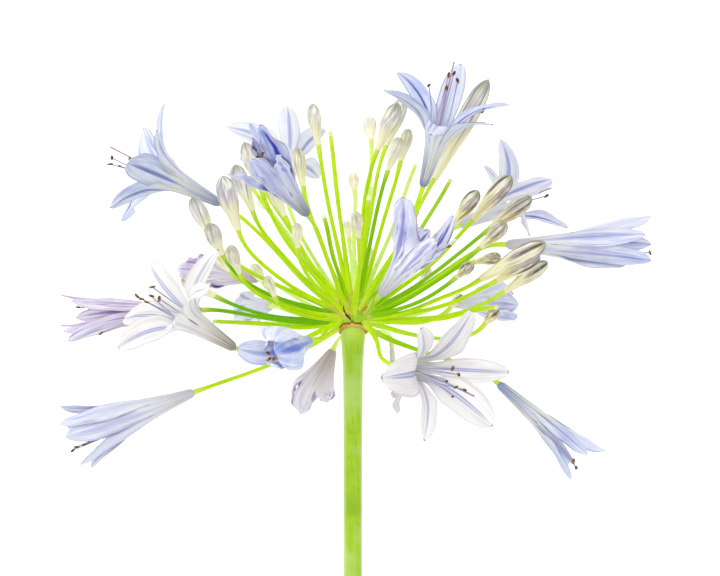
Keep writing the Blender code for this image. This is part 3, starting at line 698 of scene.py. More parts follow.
def bud_finish():
    """Cream at the foot, lavender grey on the belly of a ripe one and olive at its tip, brown in its furrows. Buds on
    the head's lower right are browner and darker in their furrows, partly their own brown and partly painted shade.
    White patches are painted highlights, and the skin glows faintly by its own colour as painted light.
    """
    finish = Finish(
        "bud_skin", Subsurface_Weight=0.3, Subsurface_Scale=0.002, Subsurface_Radius=(1.0, 0.95, 0.7),
        Emission_Strength=0.08,
    )
    along, ripe, tan = finish.attribute("along"), finish.attribute("ripe"), finish.attribute("tan")
    place = finish.place()
    parts = finish.base.node("ShaderNodeSeparateXYZ", sockets={0: finish.attribute("round", 1)})
    angle = parts.maths("ARCTAN2", parts.other(1), parts)
    seam = abs((angle * 1.5).cosine())
    back = abs((angle * 1.5 + 1.2).cosine())
    fibres = finish.noise(finish.vector(parts * 5.0 + tan * 9.0, parts.other(1) * 5.0, along * 1.5), 1.0, 4.0)
    washes = finish.noise(finish.vector(parts * 1.6 + tan * 5.0, parts.other(1) * 1.6, along * 2.2), 1.0, 2.0)
    cloud = finish.noise(place, 260.0, 3.0)
    colour = finish.mixed("#FBF6D2", "#EEE398", washes.rise(0.35, 0.6) * (0.2 + tan * 0.8))
    colour = colour.blend("#CFCDDA", along.rise(0.3, 0.66) * (0.1 + ripe * 0.8) * washes.rise(0.3, 0.55))
    colour = colour.blend("#A2A0B0", along.rise(0.5, 0.9) * ripe * fibres.rise(0.45, 0.62) * 0.7)
    colour = colour.blend("#96847C", along.rise(0.34, 0.72) * tan * washes.rise(0.36, 0.56) * 0.8)
    colour = colour.blend("#7E8656", along.rise(0.8, 0.98) * (0.35 + ripe * 0.3))
    colour = colour.blend("#A0741C", fibres.rise(0.48, 0.62) * along.rise(0.05, 0.3) * along.rise(0.9, 0.5) * tan)
    dark = seam.rise(0.55, 0.06) * along.rise(0.34, 0.62) * along.rise(1.0, 0.94) * fibres.rise(0.32, 0.46)
    # Dark furrows, much darker on the browner buds of the lower right: partly brown seams, partly painted shade.
    colour = colour.blend("#34240E", dark * (0.1 + tan * 0.9))
    line = back.rise(0.16, 0.02) * along.rise(0.15, 0.4) * along.rise(1.0, 0.9)
    colour = colour.blend("#5C5478", line * (0.2 + ripe * 0.5))
    # Painted highlights: near-white patches scattered by the washes.
    colour = colour.blend("#FFFEF4", washes.rise(0.54, 0.68) * 0.8)
    finish.feed("Base Color", colour)
    # The skin glows faintly by its own colour: painted light.
    finish.feed("Emission Color", colour)
    finish.feed("Roughness", 0.4 + cloud * 0.25)
    finish.feed("Normal", finish.bump(fibres * 0.7 + cloud * 0.3, 0.45, 0.15))
    return finish.material


# How each bloom is coloured. The ground turns to the blush in broad washes and has fine veins. The rib is the
# band along the middle of each petal: its width, its strength, and how far it's pale again along its middle.
# Streaks run up the tube, the heart is the inside of the throat, and the base, edge and tip are the tube's foot,
# the petal's rim and its point. The glow is painted light: how strongly the petals glow by their own colour.
Look = namedtuple(
    "Look",
    "ground blush vein rib width strength split heart reach streak streaks base edge tip steady glow blotches start",
    defaults=[0.2],
)

LOOKS = {
    "lavender": Look("#E9EBF5", "#BFC4E4", "#767CB0", "#5464C0", 0.34, 0.75, 0.0, "#3F50C0", 0.5,
                     "#EDE8CC", 0.6, "#C6C3CC", "#868AB0", "#4A3A34", 0.2, 0.06, 0.35),
    "streaked": Look("#E9EDF9", "#BEC7EA", "#7480B0", "#3C48A8", 0.24, 1.0, 0.0, "#3444B4", 0.5,
                     "#F0E8B4", 1.0, "#6476B0", "#7C82A8", "#3E3030", 0.2, 0.07, 0.4),
    "blue": Look("#E2E5F7", "#93A1DC", "#4A58A8", "#2838B4", 0.42, 0.9, 0.0, "#1C2CA0", 0.7,
                 "#D8D0A8", 0.5, "#566880", "#E4DCC0", "#4A3424", 0.2, 0.07, 0.6, 0.1),
    "creased": Look("#F2F1F8", "#B4B9E2", "#565CA4", "#3038B0", 0.26, 1.0, 0.0, "#1C28A4", 0.6,
                    "#F6F3EA", 0.8, "#A8A0A8", "#A88858", "#3A2410", 0.5, 0.08, 1.0),
    "clear": Look("#F0F2FA", "#9CB2F2", "#8494D4", "#2440C4", 0.34, 1.0, 0.1, "#2434B4", 0.56,
                  "#DCE2F0", 0.5, "#8CA2E0", "#A8B4DC", "#8C4A1C", 0.3, 0.08, 0.3, 0.0),
    # The ivory heart is cream turned near white: partly its own colour, partly painted light against the shade deep
    # in its tube.
    "ivory": Look("#F6F3EE", "#E0DCD8", "#C0B8B4", "#6472B8", 0.24, 1.0, 0.7, "#FBFDEA", 0.44,
                  "#EEE6CC", 0.8, "#74685C", "#C9C2BC", "#5A5038", 0.8, 0.11, 0.1),
    "wilted": Look("#F0ECF2", "#C4B2D4", "#8468A8", "#6A48AC", 0.3, 0.6, 0.0, "#3C1C94", 0.8,
                   "#EADFCC", 0.5, "#B09A98", "#A050A0", "#4A3040", 0.2, 0.07, 0.8),
    "pale": Look("#EDEEF3", "#D2D4E6", "#A8ACCC", "#6C74C4", 0.36, 1.0, 0.0, "#8E96DA", 0.5,
                 "#EEEAD8", 0.3, "#CDCDE4", "#BCC0E0", "#8A84A0", 0.8, 0.08, 0.1),
    "papery": Look("#E8E2E4", "#D8CCD8", "#B8A4B8", "#B09CC0", 0.3, 0.4, 0.0, "#A08AB0", 0.5,
                   "#E8DCC8", 0.5, "#D8D0C0", "#C0A8B0", "#6A5040", 0.2, 0.1, 0.2),
}
PETAL_SLOTS = {
    "streaked": "lavender", "creased": "lavender", "blue": "blue_violet", "clear": "blue_violet", "papery": "wilted",
}


def petal_finish(name, look):
    finish = Finish(
        f"petal_{name}", Subsurface_Weight=0.4, Subsurface_Scale=0.0015, Subsurface_Radius=(0.7, 0.75, 1.0),
        Emission_Strength=look.glow,
    )
    uv = finish.base.node("ShaderNodeUVMap", {"uv_map": "petal"})
    parts = finish.base.node("ShaderNodeSeparateXYZ", sockets={0: uv})
    around, along = parts, parts.other(1)
    tint, inside = finish.attribute("tint"), finish.attribute("inside")
    place = finish.place()
    across = abs(around * 2.0 - 1.0)
    fine = finish.noise(finish.vector(around * 30.0 + tint * 31.0, along * 1.6, tint * 7.0), 1.0, 4.0)
    broad = finish.noise(finish.vector(around * 5.0 + tint * 13.0, along * 3.0, tint * 5.0), 1.0, 2.0)
    stripes = finish.noise(finish.vector(around * 9.0 + tint * 23.0, along * 0.9, tint * 3.0), 1.0, 2.0)
    folds = finish.noise(finish.vector(around * 7.0 + tint * 17.0, along * 3.0, tint * 11.0), 1.0, 3.0)
    cloud = finish.noise(place, 110.0, 3.0)
    crinkle = finish.noise(place, 700.0, 2.0)

    washes = (broad.rise(0.38, 0.66) * 0.8 + cloud.rise(0.45, 0.75) * 0.4) * (0.25 + tint * 0.75)
    colour = finish.mixed(look.ground, look.blush, washes)
    outside = 1.0 - inside
    colour = colour.blend(look.vein, fine.rise(0.5, 0.72) * (0.4 + across * 0.45))
    colour = colour.blend(look.rib, folds.rise(0.56, 0.68) * along.rise(0.1, 0.4) * look.blotches * 0.8)
    colour = colour.blend(look.base, along.rise(0.4, 0.06) * (0.4 + fine * 0.8) * outside)
    streak = stripes.rise(0.5, 0.62) * along.rise(0.02, 0.1) * along.rise(0.72, 0.3) * outside
    colour = colour.blend(look.streak, streak * look.streaks)
    ratio = across / ((1.25 - along * 0.8) * look.width + fine * 0.08)
    rib = ratio.rise(1.0, 0.15) * (1.0 - ratio.rise(0.5, 0.1) * look.split)
    rib = rib * along.rise(look.start, look.start + 0.3) * (0.3 + along.rise(1.0, 0.86) * 0.7)
    rib = rib * (look.steady + tint * (1.0 - look.steady)) * (0.75 + inside * 0.4) * (0.6 + fine * 0.7)
    colour = colour.blend(look.rib, rib * look.strength)
    heart = inside * along.rise(look.reach, look.reach - 0.26) * (0.55 + fine * 0.6)
    colour = colour.blend(look.heart, heart)
    rim = across.rise(0.84, 0.98) * along.rise(0.4, 0.55) * (0.35 + crinkle)
    colour = colour.blend(look.edge, rim * 0.6)
    colour = colour.blend(look.tip, along.rise(0.978, 0.995) * 0.85)
    finish.feed("Base Color", colour)
    # Each petal glows by its own colour, as strong as its look's glow: painted light standing in for light shining
    # through the thin petals.
    finish.feed("Emission Color", colour)
    finish.feed("Roughness", 0.42 + cloud * 0.2)
    finish.feed("Normal", finish.bump(fine * 0.8 + crinkle * 0.3, 0.5, 0.18))
    return finish.material


def thread_finish(name, low, high):
    """A filament or a style, which changes colour from its root to its end."""
    finish = Finish(name, Subsurface_Weight=0.3, Subsurface_Scale=0.001)
    along, place = finish.attribute("along"), finish.place()
    grain = finish.noise(place, 900.0, 2.0)
    colour = finish.mixed(low, high, along.rise(0.1, 0.9))
    finish.feed("Base Color", colour.blend("#F4F2FF", grain.rise(0.5, 0.8) * 0.4))
    finish.feed("Roughness", 0.45 + grain * 0.2)
    return finish.material


def anther_finish():
    finish = Finish("anther_brown")
    place = finish.place()
    grain = finish.noise(place, 1400.0, 2.0)
    colour = finish.mixed("#241006", "#B47C1C", grain.rise(0.42, 0.62))
    finish.feed("Base Color", colour)
    finish.feed("Roughness", 0.6 + grain * 0.3)
    finish.feed("Normal", finish.bump(grain, 0.8, 0.1))
    return finish.material


# The flowers


def flower_aim(flower):
    end = flower.tip if isinstance(flower, Bud) else flower.mouth
    return (Vector(end) - Vector(flower.foot)).normalized()


def flower_turn(flower):
    return flower_aim(flower).to_track_quat("Z", "Y")


def flower_place(flower):
    """From the flower's own frame, in millimetres along +Z from its stalk, to the part's frame in metres."""
    turn = flower_turn(flower).to_matrix().to_4x4()
    return LAID @ Matrix.Scale(MM, 4) @ Matrix.Translation(flower.foot) @ turn


def in_flower_frame(flower, place):
    return flower_turn(flower).inverted() @ (Vector(place) - Vector(flower.foot))


def petals_of(bloom):
    """The bloom's petals in its own frame, in their order round it."""
    usual = (0.0, 0.0, 0.0, bloom.width, 0.0, 1.0, 0.0, None)
    petals = []
    for spec in bloom.petals:
        values = tuple(spec) + usual[len(spec):]
        tip = in_flower_frame(bloom, values[:3])
        petals.append(Petal(tip, values[3] * PETAL_SPREAD, math.radians(values[4]), *values[5:]))
    return sorted(petals, key=lambda petal: math.atan2(petal.tip.y, petal.tip.x))


def petal_turn(petals):
    """The angle of the first petal that suits all the tips best, when the petals are evenly spaced."""
    step = math.tau / len(petals)
    total = Vector((0.0, 0.0))
    for number, petal in enumerate(petals):
        angle = math.atan2(petal.tip.y, petal.tip.x) - number * step
        total += Vector((math.cos(angle), math.sin(angle)))
    return math.atan2(total.y, total.x)


def petal_half_width(share, root, widest, funnel):
    """Half a lobe's width at this share of its length. A funnel's petals widen at once, others above a slim waist."""
    if share < PETAL_WIDEST and funnel:
        return widest - (widest - root) * (1 - share / PETAL_WIDEST) ** 1.7
    if share < PETAL_WIDEST:
        return root + (widest - root) * ease(0.05, PETAL_WIDEST, share)
    part = (share - PETAL_WIDEST) / (1 - PETAL_WIDEST)
    return widest * max(0.0, 1 - part**2.3) ** 0.62


def throat_radius_of(bloom):
    return THROAT_RADIUS * (0.6 + 0.4 * bloom.width / USUAL_WIDTH) * SWELLS.get(bloom.name, 1.0)


class PetalForm:
    """The middle surface of one petal's lobe, from the throat to its tip."""

    def __init__(self, bloom, petal, number, count, first, throat, chance):
        self.petal = petal
        self.funnel = bloom.name in FUNNELS
        self.step = math.tau / count
        self.angle = first + number * self.step
        self.throat = throat
        self.outward = Vector((math.cos(self.angle), math.sin(self.angle), 0.0))
        self.across = Vector((-math.sin(self.angle), math.cos(self.angle), 0.0))
        self.root = Vector((0.0, 0.0, TUBE_LENGTH)) + self.outward * throat
        flare = Vector((0.0, 0.0, TUBE_LENGTH * 0.5))
        slope = (self.outward * (throat - TUBE_WAIST_RADIUS) + flare).normalized()
        reach = (petal.tip - self.root).length
        self.bend = self.root + slope * (reach * 0.5) + self.outward * petal.bulge
        self.layer = (0.5 if number % 2 else -0.5) * LAYER_GAP
        self.waves = chance.uniform(1.6, 2.6)
        self.phases = (chance.uniform(0.0, math.tau), chance.uniform(0.0, math.tau))
        self.ripple = chance.uniform(0.25, 0.5) * (2.2 if bloom.name in RUFFLED else 1.0)
        self.crease = 1.5 if bloom.name in RUFFLED else 0.16
        self.grain = Vector((0.0, 0.0, chance.uniform(0.0, 90.0)))

    def point(self, share, aside):
        """The place at this share of the lobe's length, aside from -1 at one edge to 1 at the other."""
        place = quadratic(self.root, self.bend, self.petal.tip, share)
        along = (quadratic(self.root, self.bend, self.petal.tip, share + 0.02) - place).normalized()
        side = (self.across - along * self.across.dot(along)).normalized()
        inward = side.cross(along)
        if inward.dot(self.outward) > 0:
            inward.negate()
        turn = Quaternion(along, self.petal.twist * ease(0.0, 0.55, share))
        side, inward = turn @ side, turn @ inward
        root = self.throat * math.sin(self.step / 2)
        half = petal_half_width(share, root, self.petal.width / 2, self.funnel)
        edge = abs(aside)
        phase = self.phases[aside > 0]
        ripple = self.ripple * edge**3 * math.sin(share * self.waves * math.tau + phase) * ease(0.1, 0.5, share)
        keel = -0.22 * math.exp(-((aside / 0.16) ** 2)) * ease(1.0, 0.6, share)
        depth = PETAL_CUP * self.petal.cup * half * edge**1.7 + ripple + keel - self.layer * ease(0.0, 0.3, share)
        lobe = place + side * (half * aside) + inward * depth
        lobe += inward * (self.crease * noise.noise(lobe * 0.3 + self.grain) * ease(0.0, 0.4, share))

        angle = self.angle + aside * self.step / 2
        arc = Vector((math.cos(angle), math.sin(angle), 0.0)) * self.throat
        arc += self.root - self.outward * self.throat
        tube = arc + (place - self.root)
        return tube.lerp(lobe, ease(0.0, 0.24, share))


def tube_radius(height, throat):
    """The tube's radius at this height over its base: a round foot that widens steadily up to the throat."""
    foot = min(TUBE_FOOT_RADIUS, throat * 0.5)
    if height < TUBE_FOOT_HEIGHT:
        return foot * math.sqrt(1 - (1 - height / TUBE_FOOT_HEIGHT) ** 2)
    share = (height - TUBE_FOOT_HEIGHT) / (TUBE_LENGTH - TUBE_FOOT_HEIGHT)
    return foot + (throat - foot) * (0.75 * share + 0.25 * share * share)


def bloom_sheet(bloom, chance):
    """Rows of points of the flower's thin sheet, as (points, faces); a face is (corners, their UVs, tint)."""
    petals = petals_of(bloom)
    first = petal_turn(petals)
    count = len(petals)
    step = math.tau / count
    throat = throat_radius_of(bloom)
    points = [Vector((0.0, 0.0, SEAT_GAP))]
    faces = []
    tints = [chance.random() if petal.tint is None else petal.tint for petal in petals]
    columns = count * ACROSS

    rings = []
    for row in range(1, TUBE_ROWS + 1):
        share = (row / TUBE_ROWS) ** 1.35
        height = (TUBE_LENGTH - SEAT_GAP) * share
        ring = []
        for column in range(columns):
            angle = first + (column / ACROSS - 0.5) * step
            flute = 1.0 + 0.05 * math.cos(count * (angle - first)) * (1.0 - share)
            radius = tube_radius(height, throat) * flute
            ring.append(len(points))
            points.append(Vector((radius * math.cos(angle), radius * math.sin(angle), SEAT_GAP + height)))
        rings.append((share * TUBE_SHARE, ring))

    for column in range(columns):
        beside = (column + 1) % columns
        number, place = divmod(column, ACROSS)
        low, high = place / ACROSS, (place + 1) / ACROSS
        level, ring = rings[0]
        corners = (0, ring[beside], ring[column])
        faces.append((corners, (((low + high) / 2, 0.0), (high, level), (low, level)), tints[number]))
        for (under, lower), (over, upper) in zip(rings, rings[1:]):
            corners = (lower[column], lower[beside], upper[beside], upper[column])
            uvs = ((low, under), (high, under), (high, over), (low, over))
            faces.append((corners, uvs, tints[number]))

    rim = rings[-1][1]
    for number, petal in enumerate(petals):
        form = PetalForm(bloom, petal, number, count, first, throat, chance)
        last = [rim[(number * ACROSS + i) % columns] for i in range(ACROSS + 1)]
        level = TUBE_SHARE
        for row in range(1, LOBE_ROWS):
            share = row / LOBE_ROWS
            over = TUBE_SHARE + (1 - TUBE_SHARE) * share
            line = []
            for i in range(ACROSS + 1):
                line.append(len(points))
                points.append(form.point(share, 2 * i / ACROSS - 1))
            for i in range(ACROSS):
                low, high = i / ACROSS, (i + 1) / ACROSS
                corners = (last[i], last[i + 1], line[i + 1], line[i])
                uvs = ((low, level), (high, level), (high, over), (low, over))
                faces.append((corners, uvs, tints[number]))
            last, level = line, over
        tip = len(points)
        points.append(petal.tip.copy())
        for i in range(ACROSS):
            low, high = i / ACROSS, (i + 1) / ACROSS
            uvs = ((low, level), (high, level), (0.5, 1.0))
            faces.append(((last[i], last[i + 1], tip), uvs, tints[number]))
    return points, faces


def sheet_normals(points, faces):
    normals = [Vector() for _ in points]
    for corners, _, _ in faces:
        a, b, c = (points[corner] for corner in corners[:3])
        normal = (b - a).cross(c - a)
        for corner in corners:
            normals[corner] += normal
    return [normal.normalized() for normal in normals]


def thicken(name, points, faces, thickness):
    """A closed mesh of this thickness round the sheet, whose faces know their tint and their side."""
    normals = sheet_normals(points, faces)
    uses = {}
    for corners, _, _ in faces:
        for a, b in zip(corners, corners[1:] + corners[:1]):
            uses[frozenset((a, b))] = uses.get(frozenset((a, b)), 0) + 1

    shape = bmesh.new()
    uv_layer = shape.loops.layers.uv.new("petal")
    tint_layer = shape.faces.layers.float.new("tint")
    side_layer = shape.faces.layers.float.new("inside")
    outer = [shape.verts.new(p + n * (thickness / 2)) for p, n in zip(points, normals)]
    inner = [shape.verts.new(p - n * (thickness / 2)) for p, n in zip(points, normals)]

    def add(verts, uvs, tint, inside):
        face = shape.faces.new(verts)
        face.smooth = True
        face[tint_layer] = tint
        face[side_layer] = inside
        for loop, uv in zip(face.loops, uvs):
            loop[uv_layer].uv = uv

    for corners, uvs, tint in faces:
        add([outer[c] for c in corners], uvs, tint, 0.0)
        add([inner[c] for c in reversed(corners)], uvs[::-1], tint, 1.0)
        for i, a in enumerate(corners):
            j = (i + 1) % len(corners)
            b = corners[j]
            if uses[frozenset((a, b))] == 1:
                add([outer[b], outer[a], inner[a], inner[b]], (uvs[j], uvs[i], uvs[i], uvs[j]), tint, 0.5)
    mesh = bpy.data.meshes.new(name)
    shape.to_mesh(mesh)
    shape.free()
    return mesh


def petal_slot(bloom):
    return f"petal_{PETAL_SLOTS.get(bloom.look, bloom.look)}"


def make_bloom(bloom, seed, trees, finishes):
    chance = random.Random(seed)
    node = f"bloom_{bloom.name}"
    points, faces = bloom_sheet(bloom, chance)
    mesh = thicken(f"{bloom.name}_petals", points, faces, 0.4)
    mesh.transform(flower_place(bloom))
    mesh.materials.append(finishes[bloom.look])
    petals = add_object(f"{bloom.name}_petals", mesh)
    smooth = petals.modifiers.new("Smooth", "SUBSURF")
    smooth.levels = 1
    smooth.render_levels = 1
    bake(petals)
    rest_on_surface(petals)
    dress(petals, petal_slot(bloom), node)

    throat = throat_radius_of(bloom)
    top = Vector((0.0, 0.0, TUBE_LENGTH))
    place = flower_place(bloom)
    if bloom.anthers:
        paths = []
        for anther in bloom.anthers:
            end = in_flower_frame(bloom, anther)
            angle = math.atan2(end.y, end.x)
            root = top + Vector((math.cos(angle), math.sin(angle), -0.3)) * (throat * 0.9)
            bend = root + Vector((0.0, 0.0, (end - root).length * 0.5))
            paths.append([place @ quadratic(root, bend, end, i / 12) for i in range(13)])
        stamens = path_object(f"{bloom.name}_stamens", paths)
        grow(stamens, trees["stamens"], Seed=seed, Filament=finishes["filament"], Anther=finishes["anther"])
        dress(stamens, petal_slot(bloom), node)
    style = in_flower_frame(bloom, bloom.style) if bloom.style else top + Vector((0.0, 0.0, 6.0))
    start = Vector((0.0, 0.0, SEAT_GAP + 2.0))
    path = [place @ quadratic(start, top, style, i / 16) for i in range(17)]
    girths = [0.38 * MM * (1.0 - 0.35 * i / 16) for i in range(17)]
    girths[-1] = 0.3 * MM
    pistil = path_object(f"{bloom.name}_style", [path], girth=girths)
    grow(pistil, trees["stem"], Sides=8, Ribs=3, Rib_Depth=0.05, Material=finishes["style"])
    dress(pistil, petal_slot(bloom), node)


BUD_SLIMMING = 0.93


def make_bud(number, bud, trees, finishes):
    length = (Vector(bud.tip) - Vector(bud.foot)).length
    chance = random.Random(900 + number)
    skin = add_object(f"bud_skin_{number:02d}", bpy.data.meshes.new("bud"))
    ripe = ease(1.9, 3.3, bud.radius)
    # Buds on the lower right of the head are browner and darker in their furrows: partly their own brown, partly
    # painted shade on that side of the head. A random share is added.
    tan = 0.75 * ease(0.0, 40.0, bud.foot[0]) * ease(54.0, 40.0, bud.foot[1]) + chance.uniform(0.0, 0.25)
    grow(
        skin, trees["bud"], Length=length * MM, Radius=bud.radius * BUD_SLIMMING * MM, Furrow=0.05 + 0.03 * ripe,
        Twist=chance.uniform(0.3, 0.9), Ripeness=ripe, Tan=tan, Material=finishes["bud"],
    )
    place = flower_place(bud) @ Matrix.Rotation(chance.uniform(0, math.tau), 4, "Z") @ Matrix.Scale(1 / MM, 4)
    skin.data.transform(place)
    dress(skin, "bud_cream", f"bud_{number:02d}")


# The scape and the stalks


def distance_to_rod(place, start, end):
    along = end - start
    share = max(0.0, min(1.0, (place - start).dot(along) / along.length_squared))
    return (place - start - along * share).length


def stalk_controls(foot, aim, bend, root):
    """Control points of a stalk: it leaves the receptacle a little low, and ends in line with its flower."""
    out = (foot - RECEPTACLE).normalized()
    reach = (foot - RECEPTACLE).length
    if root is None:
        root = RECEPTACLE + out * (RECEPTACLE_RADIUS * ROOT_DEPTH)
    else:
        out = (root - RECEPTACLE + out * RECEPTACLE_RADIUS).normalized()
        aim = (aim + out).normalized()
    level = Vector((out.x, 0.0, out.z)).length
    start = (out - Vector((0.0, STALK_DROOP * level, 0.0))).normalized()
    knee = root + start * (reach * KNEE) + bend
    heel = foot - aim * (reach * HEEL) + bend * 0.5
    return root, knee, heel, foot


def stalk_route(foot, aim, root, obstacles):
    """The least bent route for a stalk that keeps clear of every flower but its own."""
    out = (foot - RECEPTACLE).normalized()
    side = out.cross(Vector((0.0, 0.0, 1.0))).normalized()
    over = side.cross(out)
    bends = [Vector()]
    for size in STALK_TRIALS:
        for step in range(8):
            angle = step * math.tau / 8
            bends.append((side * math.cos(angle) + over * math.sin(angle)) * size)
    best = None
    for bend in bends:
        controls = stalk_controls(foot, aim, bend, root)
        spare = 1.0
        for i in range(2, 24):
            place = cubic(controls, i / 25)
            for start, end, radius in obstacles:
                room = distance_to_rod(place, start, end) - radius - STALK_RADIUS
                spare = min(spare, room - STALK_CLEARANCE)
        if best is None or spare > best[0] + 1e-6:
            best = (spare, controls)
        if spare > 0.0:
            break
    return best[1]


def flower_rods(flower):
    """The room that a flower takes, as (start, end, radius)."""
    foot = Vector(flower.foot)
    if isinstance(flower, Bud):
        return [(foot, Vector(flower.tip), flower.radius)]
    throat = foot + flower_aim(flower) * TUBE_LENGTH
    rods = [(foot, throat, THROAT_RADIUS)]
    rods += [(throat, Vector(petal[:3]), flower.width * 0.5) for petal in flower.petals]
    return rods


# How thick a stalk is along its length, times its usual radius
STALK_GIRTH = [(0.0, 1.5), (0.1, 1.15), (0.45, 0.8), (0.88, 0.8), (1.0, 1.1)]
BARE_GIRTH = 0.86


def make_stalks(trees, finishes):
    flowers = BLOOMS + BUDS
    rods = [(flower, rod) for flower in flowers for rod in flower_rods(flower)]
    chance = random.Random(7)
    paths, girths, deeps, back_light_washes, cuts = [], [], [], [], []
    for flower in flowers + BARE_STALKS:
        bare = not isinstance(flower, (Bloom, Bud))
        foot = Vector(flower if bare else flower.foot)
        aim = (foot - RECEPTACLE).normalized() if bare else flower_aim(flower)
        root = Vector(ROOTS[flower.name]) if isinstance(flower, Bloom) and flower.name in ROOTS else None
        controls = stalk_route(foot, aim, root, [rod for owner, rod in rods if owner is not flower])
        shares = [i / STALK_STEPS for i in range(STALK_STEPS + 1)]
        if bare:
            shares[-2] = 0.97
        path = [cubic(controls, share) for share in shares]
        side = aim.cross(Vector((0.0, 0.0, 1.0))).normalized() * chance.uniform(-0.5, 0.5)
        for share, place in zip(shares, path):
            place += side * math.sin(share * math.tau * 1.25) * math.sin(share * math.pi)
        if not bare:
            path[-1] += aim * (SEAT_GAP + 0.5)
        paths.append([laid(place) for place in path])
        for share in shares:
            swell = read_outline(STALK_GIRTH, share)
            if bare and share > 0.5:
                swell = BARE_GIRTH
            girths.append(STALK_RADIUS * MM * swell)
        deep = chance.random()
        # Painted light: the further back a stalk's flower lies, the paler the wash over the stalk.
        pale = ease(0.0, -34.0, foot.z)
        deeps += [deep] * len(shares)
        back_light_washes += [pale] * len(shares)
        cuts += [(1.0 if flower in WHITE_CUTS else 0.4) if bare else 0.0] * len(shares)
    stalks = path_object("stalks", paths, girth=girths, deep=deeps, pale=back_light_washes, cut=cuts)
    grow(stalks, trees["stem"], Sides=12, Ribs=5, Rib_Depth=0.04, Material=finishes["stalk"])
    dress(stalks, "stem_green", "scape")


# The scape's (height, radius) from the top of the receptacle down to the cut
SCAPE_OUTLINE = [
    (6.2, 0.8), (5.9, 2.8), (5.2, 3.9), (4.3, 4.5), (2.4, 5.0), (0.6, 4.6), (-1.3, 4.4), (-2.6, 4.4),
    (-6.0, 4.0), (-14.0, 3.5), (-30.0, 3.25), (-60.0, 3.22), (-120.0, 3.2), (-200.0, 3.2), (-299.0, 3.2),
    (-300.0, 3.0),
]


def make_scape(trees, finishes):
    path = [laid((0.0, height, 0.0)) for height, _ in SCAPE_OUTLINE]
    scape = path_object("scape_skin", [path], girth=[radius * MM for _, radius in SCAPE_OUTLINE])
    grow(scape, trees["stem"], Sides=64, Ribs=11, Rib_Depth=0.006, Material=finishes["scape"])
    rest_on_surface(scape)
    dress(scape, "stem_green", "scape")


SCAR_SCORCH = (0.3, 0.0, 0.1, 1.0, 1.0)


def make_scar(finishes):
    """The papery ring: a thin band that arches up in front and frays along its edges."""
    chance = random.Random(31)
    shape = bmesh.new()
    scorch = shape.verts.layers.float.new("scorch")
    rings = []
    steps = 96
    for i in range(steps):
        angle = math.tau * i / steps
        front = max(0.0, math.sin(angle))
        base = SCAR_BOTTOM + SCAR_ARCH * front**1.2 + chance.uniform(-0.25, 0.2)
        height = 1.3 + chance.uniform(-0.4, 0.6)
        radius = FLARE_RADIUS + 0.1 + 0.55 * front
        section = [
            (radius, base), (radius + 0.45, base + 0.1), (radius + 0.6, base + height * 0.5),
            (radius + 0.4, base + height), (radius - 0.2, base + height),
        ]
        ring = [shape.verts.new(laid((r * math.cos(angle), y, r * math.sin(angle)))) for r, y in section]
        for vert, burnt in zip(ring, SCAR_SCORCH):
            vert[scorch] = burnt
        rings.append(ring)
    for i, ring in enumerate(rings):
        after = rings[(i + 1) % steps]
        for j in range(len(ring)):
            k = (j + 1) % len(ring)
            shape.faces.new((ring[j], ring[k], after[k], after[j])).smooth = True
    bmesh.ops.recalc_face_normals(shape, faces=shape.faces)
    mesh = bpy.data.meshes.new("bract_scar_skin")
    shape.to_mesh(mesh)
    shape.free()
    mesh.materials.append(finishes["scar"])
    scar = add_object("bract_scar_skin", mesh)
    dress(scar, "papery_brown", "bract_scar")


DARK_WISP = [(-3.3, 7.4, 9.0), (-3.0, 5.6, 9.0), (-2.2, 4.2, 8.6), (-1.2, 3.3, 8.0), (-0.8, 2.5, 7.0)]


def make_wisp(trees, finishes):
    """A dark withered thread that lies between the roots of the stalks."""
    girths = [0.12 * MM, 0.24 * MM, 0.3 * MM, 0.3 * MM, 0.16 * MM]
    wisp = path_object("dark_wisp", [[laid(place) for place in DARK_WISP]], girth=girths)
    grow(wisp, trees["stem"], Sides=7, Ribs=2, Rib_Depth=0.25, Material=finishes["wisp"])
    dress(wisp, "papery_brown", "bract_scar")


def make_threads(trees, finishes):
    dome = bmesh.new()
    bmesh.ops.create_uvsphere(dome, u_segments=24, v_segments=12, radius=(RECEPTACLE_RADIUS + 1.2) * MM)
    low = [vert for vert in dome.verts if vert.co.y < -0.001]
    bmesh.ops.delete(dome, geom=low, context="VERTS")
    mesh = bpy.data.meshes.new("dome")
    dome.to_mesh(mesh)
    dome.free()
    mesh.transform(LAID @ Matrix.Translation(RECEPTACLE * MM))
    threads = add_object("papery_threads", mesh)
    grow(threads, trees["threads"], Density=330000.0, Length=0.008, Seed=5, Material=finishes["thread"])
    dress(threads, "papery_brown", "bract_scar")


# The stage


def make_camera():
    data = bpy.data.cameras.new("camera")
    data.sensor_width = SENSOR_WIDTH
    data.lens = CAMERA_PLACE.z * SENSOR_WIDTH / (PICTURE_WIDTH * MM_PER_PIXEL)
    camera = add_object("camera", data)
    camera.matrix_world = LAID @ Matrix.Translation(CAMERA_PLACE * MM)
    bpy.context.scene.camera = camera


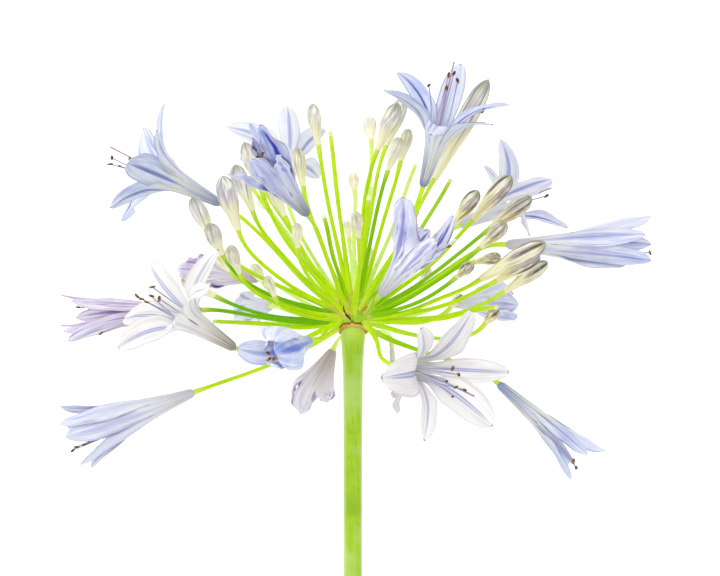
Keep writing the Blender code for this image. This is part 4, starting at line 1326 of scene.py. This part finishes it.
def make_stage():
    floor_mesh = bpy.data.meshes.new("floor")
    shape = bmesh.new()
    bmesh.ops.create_grid(shape, x_segments=1, y_segments=1, size=3.0)
    shape.to_mesh(floor_mesh)
    shape.free()
    finish = Finish("floor_white", Roughness=0.7, Emission_Strength=0.2)
    grain = finish.noise(finish.place(), 6.0, 2.0)
    finish.feed("Base Color", finish.mixed(srgb("#FAFAF9", 1.0), srgb("#FEFEFE", 1.0), grain))
    floor_mesh.materials.append(finish.material)
    floor = add_object("floor", floor_mesh)
    floor.location.z = -0.0004

    world = bpy.data.worlds.new("soft_white")
    world.use_nodes = True
    world.node_tree.nodes["Background"].inputs["Color"].default_value = srgb("#FBFCFF", 1.0)
    world.node_tree.nodes["Background"].inputs["Strength"].default_value = 0.76
    bpy.context.scene.world = world

    for name, place, size, watts in (
        ("key", (-500.0, 500.0, 900.0), 0.9, 8.0),
        ("fill", (700.0, -200.0, 700.0), 1.2, 3.0),
    ):
        light = bpy.data.lights.new(name, "AREA")
        light.size = size
        light.energy = watts
        lamp = add_object(name, light)
        lamp.location = laid(place)
        lamp.rotation_mode = "QUATERNION"
        lamp.rotation_quaternion = (laid((0.0, 20.0, 0.0)) - lamp.location).to_track_quat("-Z", "Y")
    bpy.context.scene.view_settings.view_transform = "Standard"


def main():
    make_camera()
    make_stage()
    trees = {"stem": stem_tree(), "bud": bud_tree(), "stamens": stamen_tree(), "threads": thread_tree()}
    finishes = {name: petal_finish(name, look) for name, look in LOOKS.items()}
    finishes.update(
        scape=scape_finish(),
        stalk=stalk_finish(),
        scar=papery_finish("scar_brown", "#CC8E2C", "#ECC870"),
        thread=papery_finish("thread_tan", "#E8A428", "#FFE48C"),
        wisp=papery_finish("wisp_dark", "#3C2028", "#6A4448"),
        bud=bud_finish(),
        filament=thread_finish("filament_lavender", "#E8EAF6", "#9498C8"),
        style=thread_finish("style_lilac", "#D8D4F0", "#A890B0"),
        anther=anther_finish(),
    )
    make_scape(trees, finishes)
    make_stalks(trees, finishes)
    make_scar(finishes)
    make_threads(trees, finishes)
    make_wisp(trees, finishes)
    for number, bud in enumerate(BUDS, 1):
        make_bud(number, bud, trees, finishes)
    for number, bloom in enumerate(BLOOMS, 1):
        make_bloom(bloom, 100 + number, trees, finishes)


main()
